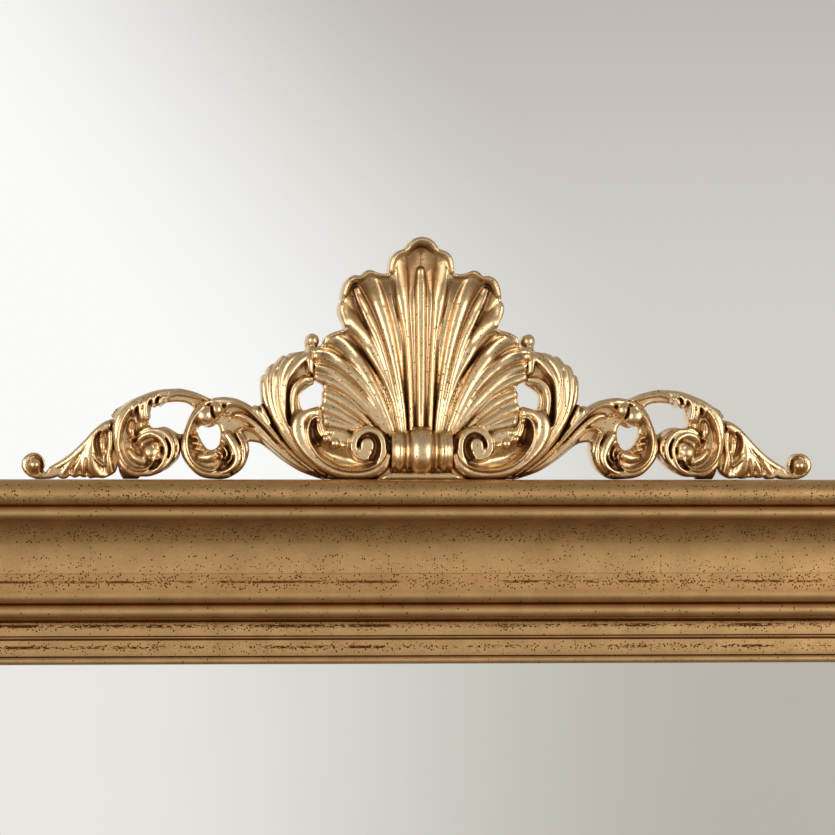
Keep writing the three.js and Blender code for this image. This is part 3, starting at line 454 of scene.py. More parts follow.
def silveredMaterial():
    # front-lit silvering; the faint cloudiness of an old plate is in its roughness
    material, wiring, surface = newMaterial("silveredGlass")
    cloud = wiring.noise(wiring.place(), *silvering["cloud"])
    tone = wiring.mix(wiring.span(cloud, *silvering["clouded"]), *silvering["tones"])
    rough = wiring.span(cloud, *silvering["clouded"], *silvering["rough"])
    wiring.fill(surface, {"Base Color": tone, "Metallic": 1.0, "Roughness": rough})
    return material


pine = dict(light=(0.52, 0.36, 0.20), dark=(0.36, 0.22, 0.11), along=(1.0, 6.0, 6.0))
finishes = dict(
    moulding=railMaterial("mouldingGilt", mouldingGilt, mouldingWear),
    liner=railMaterial("linerGilt", linerGilt, linerWear),
    carving=carvingMaterial(),
    glass=silveredMaterial(),
    pine=woodMaterial("barePine", **pine),
    railPine=woodMaterial("railBarePine", **pine, ownMap="rail"),
    board=woodMaterial("brownBoard", (0.25, 0.155, 0.085), (0.15, 0.09, 0.048), (1.0, 8.0, 8.0)),
    beech=woodMaterial("bareBeech", (0.56, 0.38, 0.22), (0.42, 0.26, 0.14), (2.0, 6.0, 6.0)),
    steel=metalMaterial("zincSteel", (0.55, 0.55, 0.54), (0.36, 0.35, 0.33), 0.35),
    brass=metalMaterial("agedBrass", (0.62, 0.45, 0.20), (0.30, 0.19, 0.08), 0.32),
    card=mattMaterial("greyCard", (0.42, 0.40, 0.36), (0.33, 0.31, 0.28), 900.0, 0.95),
    rubber=mattMaterial("blackRubber", (0.022, 0.022, 0.022), (0.035, 0.035, 0.034), 1400.0, 0.7),
)
print("finishes made")


# shapes

def smoothRows(rows, stepsEach=8):
    # a smooth line through rows of numbers, every column carried along
    rows = np.array(rows, float)
    padded = np.vstack([[2 * rows[0] - rows[1]], rows, [2 * rows[-1] - rows[-2]]])
    t = np.linspace(0, 1, stepsEach, endpoint=False)[:, None]
    parts = []
    for a, b, c, d in zip(padded, padded[1:], padded[2:], padded[3:]):
        parts.append(b + 0.5 * t * (c - a + t * (2 * a - 5 * b + 4 * c - d + t * (3 * (b - c) + d - a))))
    return np.vstack(parts + [rows[-1:]])


def evenly(points, spacing):
    # a closed line's points at an even spacing
    closed = np.vstack([points, points[:1]])
    steps = np.hypot(*np.diff(closed, axis=0).T)
    length = np.concatenate([[0], np.cumsum(steps)])
    count = max(8, int(round(length[-1] / spacing)))
    at = np.linspace(0, length[-1], count, endpoint=False)
    return np.column_stack([np.interp(at, length, closed[:, 0]), np.interp(at, length, closed[:, 1])])


def outlineOf(runs):
    # runs of [out, up] points in mm: smooth along a run, with a corner where one ends
    parts = [smoothRows(run)[:-1] if len(run) > 2 else np.array(run[:1], float) for run in runs]
    return np.vstack(parts)


def nearestOn(points, line):
    # how far each point lies from a line, on which side, and the line's own row there
    starts, ends = line[:-1], line[1:]
    run = ends[:, :2] - starts[:, :2]
    lengths = np.maximum((run ** 2).sum(1), 1e-9)
    offset = points[:, None, :] - starts[None, :, :2]
    t = np.clip((offset * run).sum(2) / lengths, 0, 1)
    gap = offset - t[..., None] * run
    reach = (gap ** 2).sum(2)
    best = reach.argmin(1)
    pick = np.arange(len(points))
    t = t[pick, best][:, None]
    rows = starts[best] * (1 - t) + ends[best] * t
    side = np.sign(run[best, 0] * gap[pick, best, 1] - run[best, 1] * gap[pick, best, 0])
    return np.sqrt(reach[pick, best]), side, rows


# How a stroke's section runs from its middle to its edge. steep is the fall in half widths, and lean moves the
# ridge towards one edge. Balls and grooves have rules of their own.
strokes = dict(
    reed=dict(steep=0.95), band=dict(steep=0.7), rim=dict(steep=1.3), flat=dict(steep=0.5, power=6),
    leanLeft=dict(steep=0.9, lean=0.55), scoop=dict(power=2), groove=dict(), pit=dict(power=4),
)


def domed(points, height, balls):
    for out, up, radius, front in balls:
        away = np.hypot(points[:, 0] - out, points[:, 1] - up)
        dome = front - radius + np.sqrt(np.maximum(radius ** 2 - away ** 2, 0))
        height = np.where(away < radius, np.maximum(height, dome), height)
    return height


def carve(points, ground, cuts):
    # heights above the wall, in mm, after each stroke in turn has been carved into the ground
    height = ground.copy()
    for kind, rows in cuts:
        if kind == "ball":
            height = domed(points, height, rows)
            continue
        line = smoothRows(rows)
        reach = line[:, 2].max()
        near = np.all((points > line[:, :2].min(0) - reach) & (points < line[:, :2].max(0) + reach), axis=1)
        near = np.flatnonzero(near)
        if not len(near):
            continue
        away, side, row = nearestOn(points[near], line)
        half = np.maximum(row[:, 2], 0.05)
        inside = away < half
        near, away, side, row, half = near[inside], away[inside], side[inside], row[inside], half[inside]
        section = strokes[kind]
        power, lean = section.get("power", 2), section.get("lean", 0.0)
        place = side * away / half
        u = np.abs(place - lean) / np.where(place > lean, 1 - lean, 1 + lean)
        old = height[near]
        if kind in ("scoop", "pit"):
            share = u ** power
            height[near] = np.where(row[:, 3] < old, row[:, 3] * (1 - share) + old * share, old)
        elif kind == "groove":
            height[near] = old - row[:, 3] * (1 - u ** 2)
        else:
            fall = section["steep"] * half * (1 - np.sqrt(np.maximum(1 - u ** power, 0)))
            height[near] = np.maximum(old, row[:, 3] - fall)
    return height


def insideOf(points, loop):
    # which points a closed line holds
    held = np.zeros(len(points), bool)
    x, y = points.T
    for (ax, ay), (bx, by) in zip(loop, np.roll(loop, -1, axis=0)):
        crosses = (ay > y) != (by > y)
        if ay != by:
            held ^= crosses & (x < (bx - ax) * (y - ay) / (by - ay) + ax)
    return held


def withinLoops(points, loops):
    # inside the outline and outside its holes
    held = insideOf(points, loops[0])
    for hole in loops[1:]:
        held &= ~insideOf(points, hole)
    return held


def gridIn(low, high, step):
    # points on a grid of equal triangles
    points = []
    for index, y in enumerate(np.arange(low[1], high[1], step * math.sqrt(0.75))):
        x = np.arange(low[0] + step * 0.5 * (index % 2), high[0], step)
        points.append(np.column_stack([x, np.full(len(x), y)]))
    return np.vstack(points)


def crossOf(a, b):
    return a[:, 0] * b[:, 1] - a[:, 1] * b[:, 0]


def fillWithin(points, loops, links):
    # triangles that fill the outline round its holes, all turned the same way
    made = delaunay_2d_cdt([Vector(p) for p in points], links, [], 1, 1e-7)
    order = [ids[0] if ids else -1 for ids in made[3]]
    faces = np.array([[order[i] for i in face] for face in made[2] if len(face) == 3])
    faces = faces[(faces >= 0).all(1)]
    faces = faces[withinLoops(points[faces].mean(1), loops)]
    a, b, c = points[faces[:, 0]], points[faces[:, 1]], points[faces[:, 2]]
    backwards = crossOf(b - a, c - a) < 0
    faces[backwards] = faces[backwards][:, ::-1]
    return faces


# in mm: the wall to the flat backs, and what counts as the middle line; clear is in grid steps from the edge
carving = dict(back=8.0, middle=0.05, clear=0.6, sharp=65)
waves = dict(broad=(0.10, 0.22), fine=(0.035, 0.9))  # unevenness of the cut: height in mm, and waves to a mm
hollows = dict(rounds=14, raised=-1.5, deepest=0.85)  # how ground is told from its surroundings, in mm


def reliefOf(piece, side, flat, edgeGap, front):
    # the front's height at each point, how deep it lies under its surroundings, and the painted shade it gets
    # under the shell's lip
    folded = np.column_stack([np.abs(flat[:, 0]), flat[:, 1]]) if side == 0 else flat
    ground = np.full(len(flat), float(piece["ground"]))
    for out, up, radius, rise in piece.get("swells", []):
        ground += rise * np.exp(-((folded[:, 0] - out) ** 2 + (folded[:, 1] - up) ** 2) / radius ** 2)
    height = carve(folded, ground, piece["cuts"])
    paintedLipShade = np.zeros(len(flat))
    if "lip" in piece:  # the rim rolls forward and the base tucks in behind the collar
        lip, shadeUnderLip, up = piece["lip"], piece["shadeUnderLip"], folded[:, 1]
        near = np.clip(1 - edgeGap / lip["reach"], 0, 1) ** 1.5
        near *= np.clip((up - lip["above"]) / lip["fade"], 0, 1)
        tucked = np.clip((lip["tuckBelow"] - up) / lip["tuckOver"], 0, 1) ** 1.4
        height += lip["rise"] * near - lip["tuck"] * tucked
        # painted shade: a band just inside the rolled lip darkens the downward-facing tops of the spoon hollows
        paintedLipShade = np.clip((edgeGap - shadeUnderLip["start"]) / shadeUnderLip["rise"], 0, 1)
        paintedLipShade *= np.clip((shadeUnderLip["end"] - edgeGap) / shadeUnderLip["fall"], 0, 1)
        paintedLipShade *= np.clip((up - lip["above"]) / shadeUnderLip["fade"], 0, 1)
    rounding = piece["rounding"]
    share = np.clip(1 - edgeGap / rounding, 0, 1)
    height -= rounding * (1 - np.sqrt(1 - share ** 2))
    links = np.unique(np.sort(np.vstack([front[:, [i, (i + 1) % 3]] for i in range(3)]), axis=1), axis=0)
    links = np.vstack([links, links[:, ::-1]])
    degree = np.bincount(links[:, 0], minlength=len(flat))

    def averaged(values):
        return np.bincount(links[:, 0], values[links[:, 1]], len(flat)) / degree

    for _ in range(piece["smoothing"]):
        height = 0.5 * height + 0.5 * averaged(height)
    wide = height.copy()
    for _ in range(hollows["rounds"]):
        wide = averaged(wide)
    hollow = np.clip(wide - height, hollows["raised"], piece.get("deepest", hollows["deepest"]))
    for (high, often), apart in ((waves["broad"], side * 7.0), (waves["fine"], 3.0)):
        height += [high * noise.noise(Vector((out * often, up * often, apart))) for out, up in flat]
    return height, hollow, paintedLipShade


def carvedMesh(name, piece, side):
    # a relief carving: its fine front face, its edge down to the ground and its flat back
    step = piece["step"]
    outline = outlineOf(piece["outline"])
    if side == 0:  # a whole piece, mirrored about the middle
        half = outline[outline[:, 0] > carving["middle"]]
        outline = np.vstack([half, half[::-1] * (-1, 1)])
    loops = [evenly(line, step) for line in [outline] + [outlineOf(runs) for runs in piece.get("holes", [])]]
    edge = np.vstack(loops)
    grid = gridIn(edge.min(0), edge.max(0), step)
    grid = grid[withinLoops(grid, loops)]
    tree = KDTree(len(edge))
    for index, (out, up) in enumerate(edge):
        tree.insert((out, up, 0), index)
    tree.balance()
    edgeGap = np.array([tree.find((out, up, 0))[2] for out, up in grid])
    clear = edgeGap > step * carving["clear"]
    flat = np.vstack([edge, grid[clear]])
    edgeGap = np.concatenate([np.zeros(len(edge)), edgeGap[clear]])
    links, start = [], 0
    for loop in loops:
        links += [(start + i, start + (i + 1) % len(loop)) for i in range(len(loop))]
        start += len(loop)
    front = fillWithin(flat, loops, links)
    rear = fillWithin(edge, loops, links)
    height, hollow, paintedLipShade = reliefOf(piece, side, flat, edgeGap, front)

    # the front, the back's edge and a ring halfway down the wall between them
    sign, count, back = side or 1, len(flat), carving["back"]
    halfway = 0.5 * height[:len(edge)] + 0.5 * back
    layers = [(flat, height), (edge, np.full(len(edge), back)), (edge, halfway)]
    place = np.vstack([np.column_stack([at[:, 0] * sign, -forward, at[:, 1]]) for at, forward in layers])
    rearStart, wallStart = count, count + len(edge)
    walls = []
    for a, b in links:
        for upper, lower in ((0, wallStart), (wallStart, rearStart)):
            walls += [(upper + a, lower + a, lower + b), (upper + a, lower + b, upper + b)]
    walls = np.array(walls)
    start, outwards = 0, 1
    for loop in loops:  # the outline's walls look out, and a hole's look in
        run = slice(start, start + len(loop) * 4)
        if crossOf(loop, np.roll(loop, -1, axis=0)).sum() * outwards < 0:
            walls[run] = walls[run][:, ::-1]
        start, outwards = run.stop, -1
    faces = np.vstack([front, rear[:, ::-1] + rearStart, walls])
    if sign < 0:
        faces = faces[:, ::-1]
    place *= mm
    place[:, 2] += frameTop
    mesh = bpy.data.meshes.new(name)
    mesh.from_pydata(place.tolist(), [], faces.tolist())
    mesh.validate()
    smoothed(mesh, carving["sharp"])
    # the relief, and the painted shade under the shell's lip, are stored for the material
    for label, field in (("relief", hollow), ("paintedLipShade", paintedLipShade)):
        values = np.zeros(len(place), np.float32)
        values[:count] = field
        mesh.attributes.new(label, "FLOAT", "POINT").data.foreach_set("value", values)
    mesh.materials.append(finishes["carving"])
    mesh.materials.append(finishes["pine"])  # the back is bare
    flatBack = np.zeros(len(faces), np.int32)
    flatBack[len(front):len(front) + len(rear)] = 1
    if len(mesh.polygons) == len(faces):
        mesh.polygons.foreach_set("material_index", flatBack)
    return newObject(name, mesh)


def smoothed(mesh, sharp):
    # smooth shading with a crease where faces meet at more than so many degrees
    mesh.polygons.foreach_set("use_smooth", np.ones(len(mesh.polygons), bool))
    mesh.set_sharp_from_angle(angle=math.radians(sharp))


def standFor(piece, slot, *replaced, body="frame"):
    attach(piece, body)
    if replaced:
        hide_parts(*replaced)


# The crest's carvings, in mm: out from the middle line, up from the frame's top, and forward from the wall.
# A stroke's rows are [out, up, half width, front], and a groove's last number is its depth.
shellPiece = dict(
    ground=24.2, step=0.5, rounding=1.5, smoothing=4, deepest=1.5,
    lip=dict(rise=8.0, reach=18, above=64, fade=12, tuck=2.6, tuckBelow=46, tuckOver=24),
    # the painted shade under the lip: where it starts and rises, ends and falls off, in mm from the edge, and
    # how far above the lip it fades in
    shadeUnderLip=dict(start=3, rise=3, end=26, fall=15, fade=30),
    swells=[(0, 60, 34, 1.2)],
    outline=[
        [[0, 145.2], [3.9, 144.3], [6.8, 142.5], [9.2, 139.8], [9.8, 138]],
        [[9.8, 138], [12.8, 137.1], [15.8, 135.7], [18.1, 132.7], [18.9, 129.5], [19.3, 125],
            [19.9, 123.2]],
        [[19.9, 123.2], [22.9, 122.9], [26.5, 123.5], [30.6, 125.1], [34, 124.4], [36.6, 121.7]],
        [[36.6, 121.7], [40.2, 122], [43.1, 120.8], [45.8, 118], [47.4, 113], [48, 108.6]],
        [[48, 108.6], [46.8, 107.6], [48.4, 106.4]],
        [[48.4, 106.4], [49.3, 103.5], [49.4, 100.6], [48.5, 97.4], [46.6, 94], [46, 91.6], [46.7, 89.5]],
        [[46.7, 89.5], [50, 88.7], [54.4, 87.2], [57.3, 85], [58.8, 80.6]],
        [[58.8, 80.6], [62.5, 79.3], [65.3, 75.5], [65.4, 71], [63, 67.8]],
        [[63, 67.8], [64.6, 64.6], [64, 60.6], [61.4, 58.4]],
        [[61.4, 58.4], [58.6, 56.8], [57.4, 54]],
        [[57.4, 54], [58.6, 51.6], [58.4, 48.2], [58.8, 45.6]],
        [[58.8, 45.6], [60.2, 42.6], [59.4, 38.8], [58, 36.6]],
        [[58, 36.6], [58.4, 33], [56, 29.4], [50, 26.6], [44, 25], [36, 25.6], [29, 25], [22, 20.6],
            [10, 20], [0, 20]],
    ],
    cuts=[
        # spoon hollows between the reeds, deepest under the lip
        ("scoop", [[0, 139, 7.0, 22.6], [0, 130, 8.0, 21.8], [3.4, 118, 5.6, 22.6], [4.4, 104, 4.0, 24.6],
            [4.2, 86, 3.0, 26.8], [3.6, 60, 2.0, 28.2], [3.2, 30, 1.6, 28.4]]),
        ("scoop", [[13.4, 134, 4.0, 24], [14.2, 128, 3.6, 24]]),
        ("scoop", [[22.6, 121.4, 3.6, 23.6], [20.6, 112, 4.2, 23.4], [16.8, 100, 3.4, 23.6],
            [13.2, 88, 2.6, 24.2], [10.6, 72, 1.8, 25]]),
        ("scoop", [[40.4, 117.6, 6.4, 22.4], [38.6, 112, 6.6, 22], [32.4, 97, 5.0, 22.8],
            [26, 81, 3.8, 24.2], [20, 63, 2.6, 25.6], [14.6, 42, 1.8, 26.2]]),
        ("scoop", [[50.6, 87, 3.6, 23.2], [44, 84.4, 3.8, 23.2], [36.6, 77.4, 3.2, 23.6],
            [30, 68.4, 2.4, 24.4], [24, 56, 1.8, 25.2]]),
        ("scoop", [[60, 78.6, 4.0, 23], [52, 75.8, 4.0, 23.2], [42.6, 69, 3.4, 24], [33.4, 58.4, 2.6, 25],
            [26.4, 46.6, 2.0, 25.8]]),
        ("scoop", [[62, 70.4, 3.4, 23.2], [51.6, 66.6, 3.0, 23.8], [42, 59.4, 2.4, 24.6],
            [33.4, 49.6, 1.8, 25.4]]),
        # middle lobe
        ("band", [[12.6, 137, 3.6, 26.4], [12.2, 126, 4.2, 27], [11.3, 110, 3.9, 27.4], [9.8, 94, 3.1, 28],
            [8.3, 76, 2.5, 28.4], [7.2, 58, 2.1, 28.8], [6.0, 34, 1.8, 29], [5.4, 22, 1.6, 29]]),
        ("reed", [[0, 125, 2.6, 25.4], [0, 115, 3.4, 27.2], [0, 98, 3.2, 28], [0, 76, 2.8, 28.6],
            [0, 52, 2.4, 29], [0, 22, 2.1, 29]]),
        ("groove", [[0, 119, 0.9, 0.5], [0, 90, 0.8, 0.6], [0, 40, 0.7, 0.5]]),
        # second lobe
        ("band", [[32.2, 123.4, 3.6, 26], [27, 111.6, 4.5, 26.8], [21.6, 95.4, 3.9, 27.4],
            [17.2, 78, 3.0, 28], [13.9, 60.6, 2.3, 28.4], [10.4, 38, 1.8, 28.8], [9.0, 24, 1.5, 28.8]]),
        ("reed", [[38.6, 113.2, 2.4, 25.4], [35, 105.2, 3.1, 27], [29.2, 92, 3.0, 27.8],
            [23.8, 78, 2.5, 28.2], [18.9, 61, 2.0, 28.5], [15, 44, 1.7, 28.8], [11.6, 26, 1.4, 28.8]]),
        ("band", [[47, 103, 3.2, 25.8], [40.4, 93.6, 4.5, 26.8], [32.4, 82, 3.9, 27.6],
            [26, 69.8, 3.1, 28], [20.6, 56.6, 2.5, 28.4], [15.6, 38, 1.8, 28.6], [12.8, 25, 1.4, 28.6]]),
        # third lobe
        ("band", [[56.2, 84, 3.2, 26], [49, 81.6, 4.1, 26.8], [40.8, 74, 3.9, 27.4], [32.6, 62.8, 3.3, 28],
            [25.6, 50, 2.7, 28.2], [19.6, 36, 2.0, 28.4], [15.6, 25, 1.5, 28.4]]),
        ("band", [[62.8, 75.4, 3.0, 26.2], [55, 73, 3.8, 27], [46.4, 68, 3.4, 27.6], [38.4, 60.8, 2.8, 28],
            [30.8, 51.2, 2.3, 28], [23, 37, 1.8, 28], [18, 26, 1.4, 28]]),
        ("band", [[63, 67, 2.4, 26], [52.6, 63.8, 2.9, 26.8], [43.8, 57, 2.6, 27.2], [35, 48.4, 2.3, 27.6],
            [27.8, 39.8, 1.9, 27.8], [20.6, 28, 1.4, 27.8]]),
        ("band", [[62, 61.6, 2.8, 26.2], [52.6, 57.8, 2.9, 27], [44.8, 52.4, 2.6, 27.2],
            [37.4, 45.6, 2.2, 27.4], [30.6, 39.2, 1.8, 27.6], [23, 30, 1.3, 27.6]]),
        # lowest lobes, behind the scroll
        ("band", [[57, 51.6, 2.5, 25.6], [49.8, 48.8, 3.1, 26.2], [43, 44.4, 2.7, 26.6],
            [36, 38.6, 2.2, 27], [28, 30.5, 1.5, 27.2]]),
        ("band", [[59, 43.4, 2.6, 25.4], [51.6, 40.4, 2.9, 26], [44.4, 36.2, 2.5, 26.2],
            [36, 31.8, 1.8, 26.6]]),
        ("band", [[58.4, 35.4, 2.8, 25.2], [50.8, 33, 2.8, 25.8], [44, 31.4, 2.4, 26],
            [36, 29.6, 1.6, 26.2]]),
        # deep grooves between the lobes
        ("groove", [[17.8, 118, 1.4, 0.8], [15.6, 108, 1.2, 1.6], [13.4, 98.6, 1.1, 3.0],
            [11.4, 89, 1.05, 4.2], [10.1, 78, 1.0, 4.8], [9.2, 64, 0.95, 4.6], [8.4, 50, 0.9, 4.0],
            [7.6, 30, 0.8, 2.8]]),
        ("groove", [[45, 88, 1.2, 0.8], [38.6, 80.6, 1.2, 2.0], [32, 72.6, 1.1, 3.4],
            [26.4, 64.6, 1.0, 4.4], [22, 56, 0.95, 4.4], [18, 44.6, 0.9, 3.6], [14.2, 28, 0.8, 2.4]]),
        ("groove", [[58, 57.2, 1.0, 1.4], [50.6, 53.8, 1.1, 1.8], [43.2, 49, 1.0, 2.0],
            [36.6, 43, 0.9, 2.0], [30.6, 36.4, 0.8, 1.8], [25, 29, 0.7, 1.5]]),
        # the rolled lip
        ("rim", [[0, 143.0, 2.6, 28.6], [4.2, 141.6, 2.5, 28.4], [7.6, 138.4, 2.1, 28],
            [9, 136.4, 1.7, 27.6]]),
        ("rim", [[10.2, 135.8, 1.8, 27.6], [13.8, 134.5, 2.2, 27.8], [16.4, 132, 2.1, 27.6],
            [17.6, 128, 1.7, 27.2], [18.3, 124.2, 1.2, 26.6]]),
        ("rim", [[20.6, 122, 1.3, 26.4], [25.6, 122.2, 1.5, 26.8], [30.4, 123.3, 1.8, 27.4],
            [35.4, 121, 1.6, 27]]),
        ("rim", [[37, 120.2, 1.7, 27], [42, 119, 2.2, 27.6], [44.5, 115.2, 2.2, 27.6],
            [46, 110.4, 1.7, 27]]),
        ("rim", [[47.8, 104, 1.4, 26.6], [47.6, 100.6, 1.6, 26.6], [46.2, 96.6, 1.4, 26.4],
            [45, 92.4, 1.1, 26]]),
        ("rim", [[47, 88.4, 1.1, 25.8], [51, 87.2, 1.3, 26.4], [55, 85.2, 1.3, 26.4],
            [57.6, 81.4, 1.1, 26]]),
        ("ball", [[63.2, 72.6, 2.4, 27.4]]),
    ],
)

scrollPiece = dict(
    ground=27, step=0.38, rounding=2.2, smoothing=4,
    outline=[
        [[79, 31.5], [78.2, 26.8], [75.9, 22], [72.3, 16.7], [66.3, 10.7], [60.4, 6], [54.8, 3],
            [50, 0.4]],
        [[50, 0.4], [17.6, 0.1]],
        [[17.6, 0.1], [17.4, 6]],
        [[17.4, 6], [17.4, 11.5], [17.6, 17], [19.2, 22.5], [22.4, 28], [27.5, 31.4], [33, 32.2],
            [38.6, 30.4], [42.2, 27]],
        [[42.2, 27], [46, 29.6], [52, 31], [57, 31.4], [59.4, 35], [59.6, 40.6], [61.6, 44]],
        [[61.6, 44], [66.3, 42.6], [71.1, 41.2], [74.1, 42.2], [76.5, 39.9], [78.2, 35.7], [79, 31.5]],
    ],
    cuts=[
        ("scoop", [[63.6, 33.4, 3.4, 15], [63, 26, 5, 14.5], [59, 18.6, 6.4, 17], [51.6, 13.6, 7.4, 20],
            [43, 11.4, 6, 22], [36, 9.8, 3.4, 24], [29.6, 11, 2.6, 25]]),
        # the broad outer band of the scroll, and the thin rim that edges it
        ("band", [[63, 40.6, 2.6, 28], [68.6, 39.6, 3.2, 29.4], [73, 35.4, 4.2, 30.4],
            [73.4, 28.4, 5.0, 30.8], [70.4, 20.6, 5.0, 30.8], [65, 13, 4.8, 30.8], [57.4, 7.2, 4.4, 30.8],
            [48, 3.8, 3.4, 30.8], [38, 2.9, 3.2, 31], [29.4, 4.6, 3.6, 31.6], [23.2, 8.8, 3.6, 32.4],
            [20.6, 14, 2.6, 33]]),
        ("rim", [[60.4, 37.2, 1.0, 28], [63.6, 37.6, 1.0, 29.4], [66.4, 35.2, 1.0, 30.6],
            [67.9, 30.6, 1.0, 31.4], [67.6, 25, 1.0, 31.8], [65.4, 19.4, 1.0, 32], [61, 13.4, 1.0, 32.2],
            [54.2, 8.6, 1.0, 32.4], [46, 6, 1.0, 32.6], [38.4, 5.6, 1.0, 33], [32, 6.6, 1.0, 33.4],
            [26.2, 9.6, 1.1, 34], [22.9, 13.6, 1.1, 34.4], [21.6, 17.6, 1.1, 34.6]]),
        # the volute's flat ribbon turning in to its eye
        ("flat", [[26.4, 10.6, 1.3, 33.6], [23.9, 14.4, 1.9, 34.2], [23.2, 19.2, 2.1, 34.6],
            [24.3, 24.4, 2.3, 34.8], [28, 28.4, 2.5, 34.9], [33, 29.3, 2.5, 35], [37.8, 27.4, 2.5, 35],
            [40.7, 22.8, 2.4, 35], [40.6, 17.6, 2.4, 35], [37.4, 13.9, 2.4, 35], [33.6, 13.2, 2.2, 35],
            [30.8, 14.8, 2, 35]]),
        ("flat", [[34.6, 17.6, 4.2, 35.2], [33, 20, 4.9, 35.3], [32.6, 20.4, 4.9, 35.3]]),
        ("pit", [[37.3, 18.8, 0.5, 33], [37.2, 22.6, 0.75, 31], [35, 25.6, 0.95, 29],
            [31.4, 26.6, 1.3, 27], [28.2, 24.6, 1.7, 25], [26.9, 20.6, 1.8, 23.5], [27.6, 16, 1.8, 22.5],
            [30, 12.8, 1.5, 22.5]]),
        # the little hooked leaf and buds that cross the gutter
        ("reed", [[59.8, 40.4, 1.5, 25], [61.2, 35, 1.5, 25], [61.2, 30.6, 1.8, 25.6], [59, 26.8, 2.0, 26],
            [55.4, 25.4, 1.8, 26]]),
        ("reed", [[55.6, 30.4, 2.4, 24], [50, 28, 2.6, 24], [45.4, 26, 1.6, 24]]),
        ("ball", [[61.8, 35.6, 1.6, 27.6], [51.6, 21.8, 3.1, 29.4], [45.8, 20.8, 2.0, 28],
            [57.4, 24.6, 2.2, 28.6], [54.8, 28.4, 2.4, 28.4]]),
        ("pit", [[64.4, 30.6, 1.5, 12], [63.6, 25.6, 2.2, 11.5], [60.8, 21.4, 1.6, 15]]),
    ],
)

leafPiece = dict(
    ground=21, step=0.4, rounding=1.6, smoothing=4,
    outline=[
        [[94.3, 44.6], [94.9, 47.6], [95.5, 53.6], [95.5, 59.5], [94.6, 62.4], [92.6, 63.4]],
        [[92.6, 63.4], [92, 66], [89.8, 68.6], [86.6, 70]],
        [[86.6, 70], [85.4, 72], [82.6, 74.2], [80.4, 74]],
        [[80.4, 74], [78.4, 75.6], [75.3, 76.1], [72.3, 76.7], [69.3, 77.3], [68.4, 78.8]],
        [[68.4, 78.8], [68.8, 80.8], [68.8, 83.6], [67.6, 86.4], [65, 87.4], [62.2, 86.2], [61.1, 83.6],
            [61.4, 81], [62.2, 79.2]],
        [[62.2, 79.2], [61.4, 75.6], [62.4, 70.6], [63.6, 66], [63.4, 60.6], [64, 57.2]],
        [[64, 57.2], [67.4, 55.2], [70.5, 53], [72.3, 50.6], [72.6, 48.2], [72.3, 45.8], [71.4, 43.2],
            [70, 41.6]],
        [[70, 41.6], [74, 40], [77.4, 36], [78, 31], [76.6, 25], [73.4, 19.4], [68.2, 13.2], [61, 7.4],
            [54, 3.4], [47, 0.4]],
        [[47, 0.4], [55.6, 0.4]],
        [[55.6, 0.4], [61, 3.2], [71.3, 11.4], [81.5, 21.6], [87, 31], [91.6, 40], [94.3, 44.6]],
    ],
    cuts=[
        ("ball", [[64.9, 83.4, 4.3, 28], [65, 77.2, 3.4, 28], [64.8, 71.4, 2.6, 27.6]]),
        ("leanLeft", [[66.4, 77.4, 2.2, 28], [66.4, 70, 2.4, 29], [66, 64.6, 2.2, 28]]),
        # flutes, from the outside in
        ("reed", [[93.6, 61, 1.5, 23], [94.3, 55.4, 1.8, 24], [93.3, 48, 1.7, 25], [90.6, 41.6, 1.6, 26],
            [86.4, 33.4, 1.5, 26.4], [81.4, 24.6, 1.5, 26.4], [74.4, 15.8, 1.4, 26], [66.4, 8.6, 1.3, 25],
            [57.4, 3, 1.2, 24]]),
        ("reed", [[89.2, 67.4, 2.0, 24.6], [91.2, 60.6, 2.1, 26], [90.8, 51, 2.0, 27],
            [88.6, 41.6, 1.9, 27.6], [84.4, 32.6, 1.7, 28], [78.6, 23.2, 1.5, 27.6], [71, 14.6, 1.4, 26.6],
            [62, 6.8, 1.2, 25]]),
        ("reed", [[82.4, 72, 2.1, 25.6], [86.8, 65.4, 2.4, 27], [88, 55.6, 2.2, 28.4], [87, 45.6, 2.1, 29],
            [83.8, 36, 1.9, 29], [78.6, 26.8, 1.6, 28.4], [72.4, 18.4, 1.4, 27.4], [64.6, 10.4, 1.2, 26]]),
        ("reed", [[74.6, 74.2, 2.4, 27], [80.4, 69.6, 2.9, 28.6], [84, 62.2, 2.8, 30], [85, 53, 2.5, 30.6],
            [84, 43.4, 2.2, 30.6], [81, 34.6, 2.0, 30], [76.6, 26.4, 1.6, 29], [70.8, 19, 1.3, 27.6]]),
        ("reed", [[68.4, 74, 2.4, 28.6], [73.4, 70, 2.8, 30], [78, 64.4, 2.6, 30.8], [81, 57, 2.2, 31],
            [81.6, 48, 2.0, 30.6], [80.6, 39, 1.7, 29.4], [78.4, 31.4, 1.3, 28]]),
        ("groove", [[85.6, 66, 0.8, 1.0], [86.4, 56, 0.8, 1.6], [85.4, 44, 0.8, 1.8], [81.8, 34, 0.7, 1.8],
            [75.4, 24, 0.7, 1.6], [67.6, 15, 0.6, 1.4]]),
        # inner lobe under the curl
        ("pit", [[65.4, 62.6, 0.8, 22], [71.6, 64, 1.0, 21], [76.6, 61, 1.1, 20], [79.2, 55.4, 1.0, 20],
            [79.9, 47, 0.9, 19], [79.4, 38, 1.1, 16], [78.6, 33.4, 0.9, 16]]),
        ("leanLeft", [[66, 59.8, 2.2, 26], [71, 59, 2.4, 27], [75.4, 55, 2.4, 27], [77, 49, 2.2, 26.6],
            [76.8, 42.6, 1.9, 25.6], [76.4, 38.4, 1.4, 25]]),
        ("groove", [[70.4, 55.6, 0.7, 1.4], [73.6, 52, 0.8, 1.8], [74.8, 46.6, 0.7, 1.6],
            [74.6, 42, 0.6, 1.2]]),
    ],
)

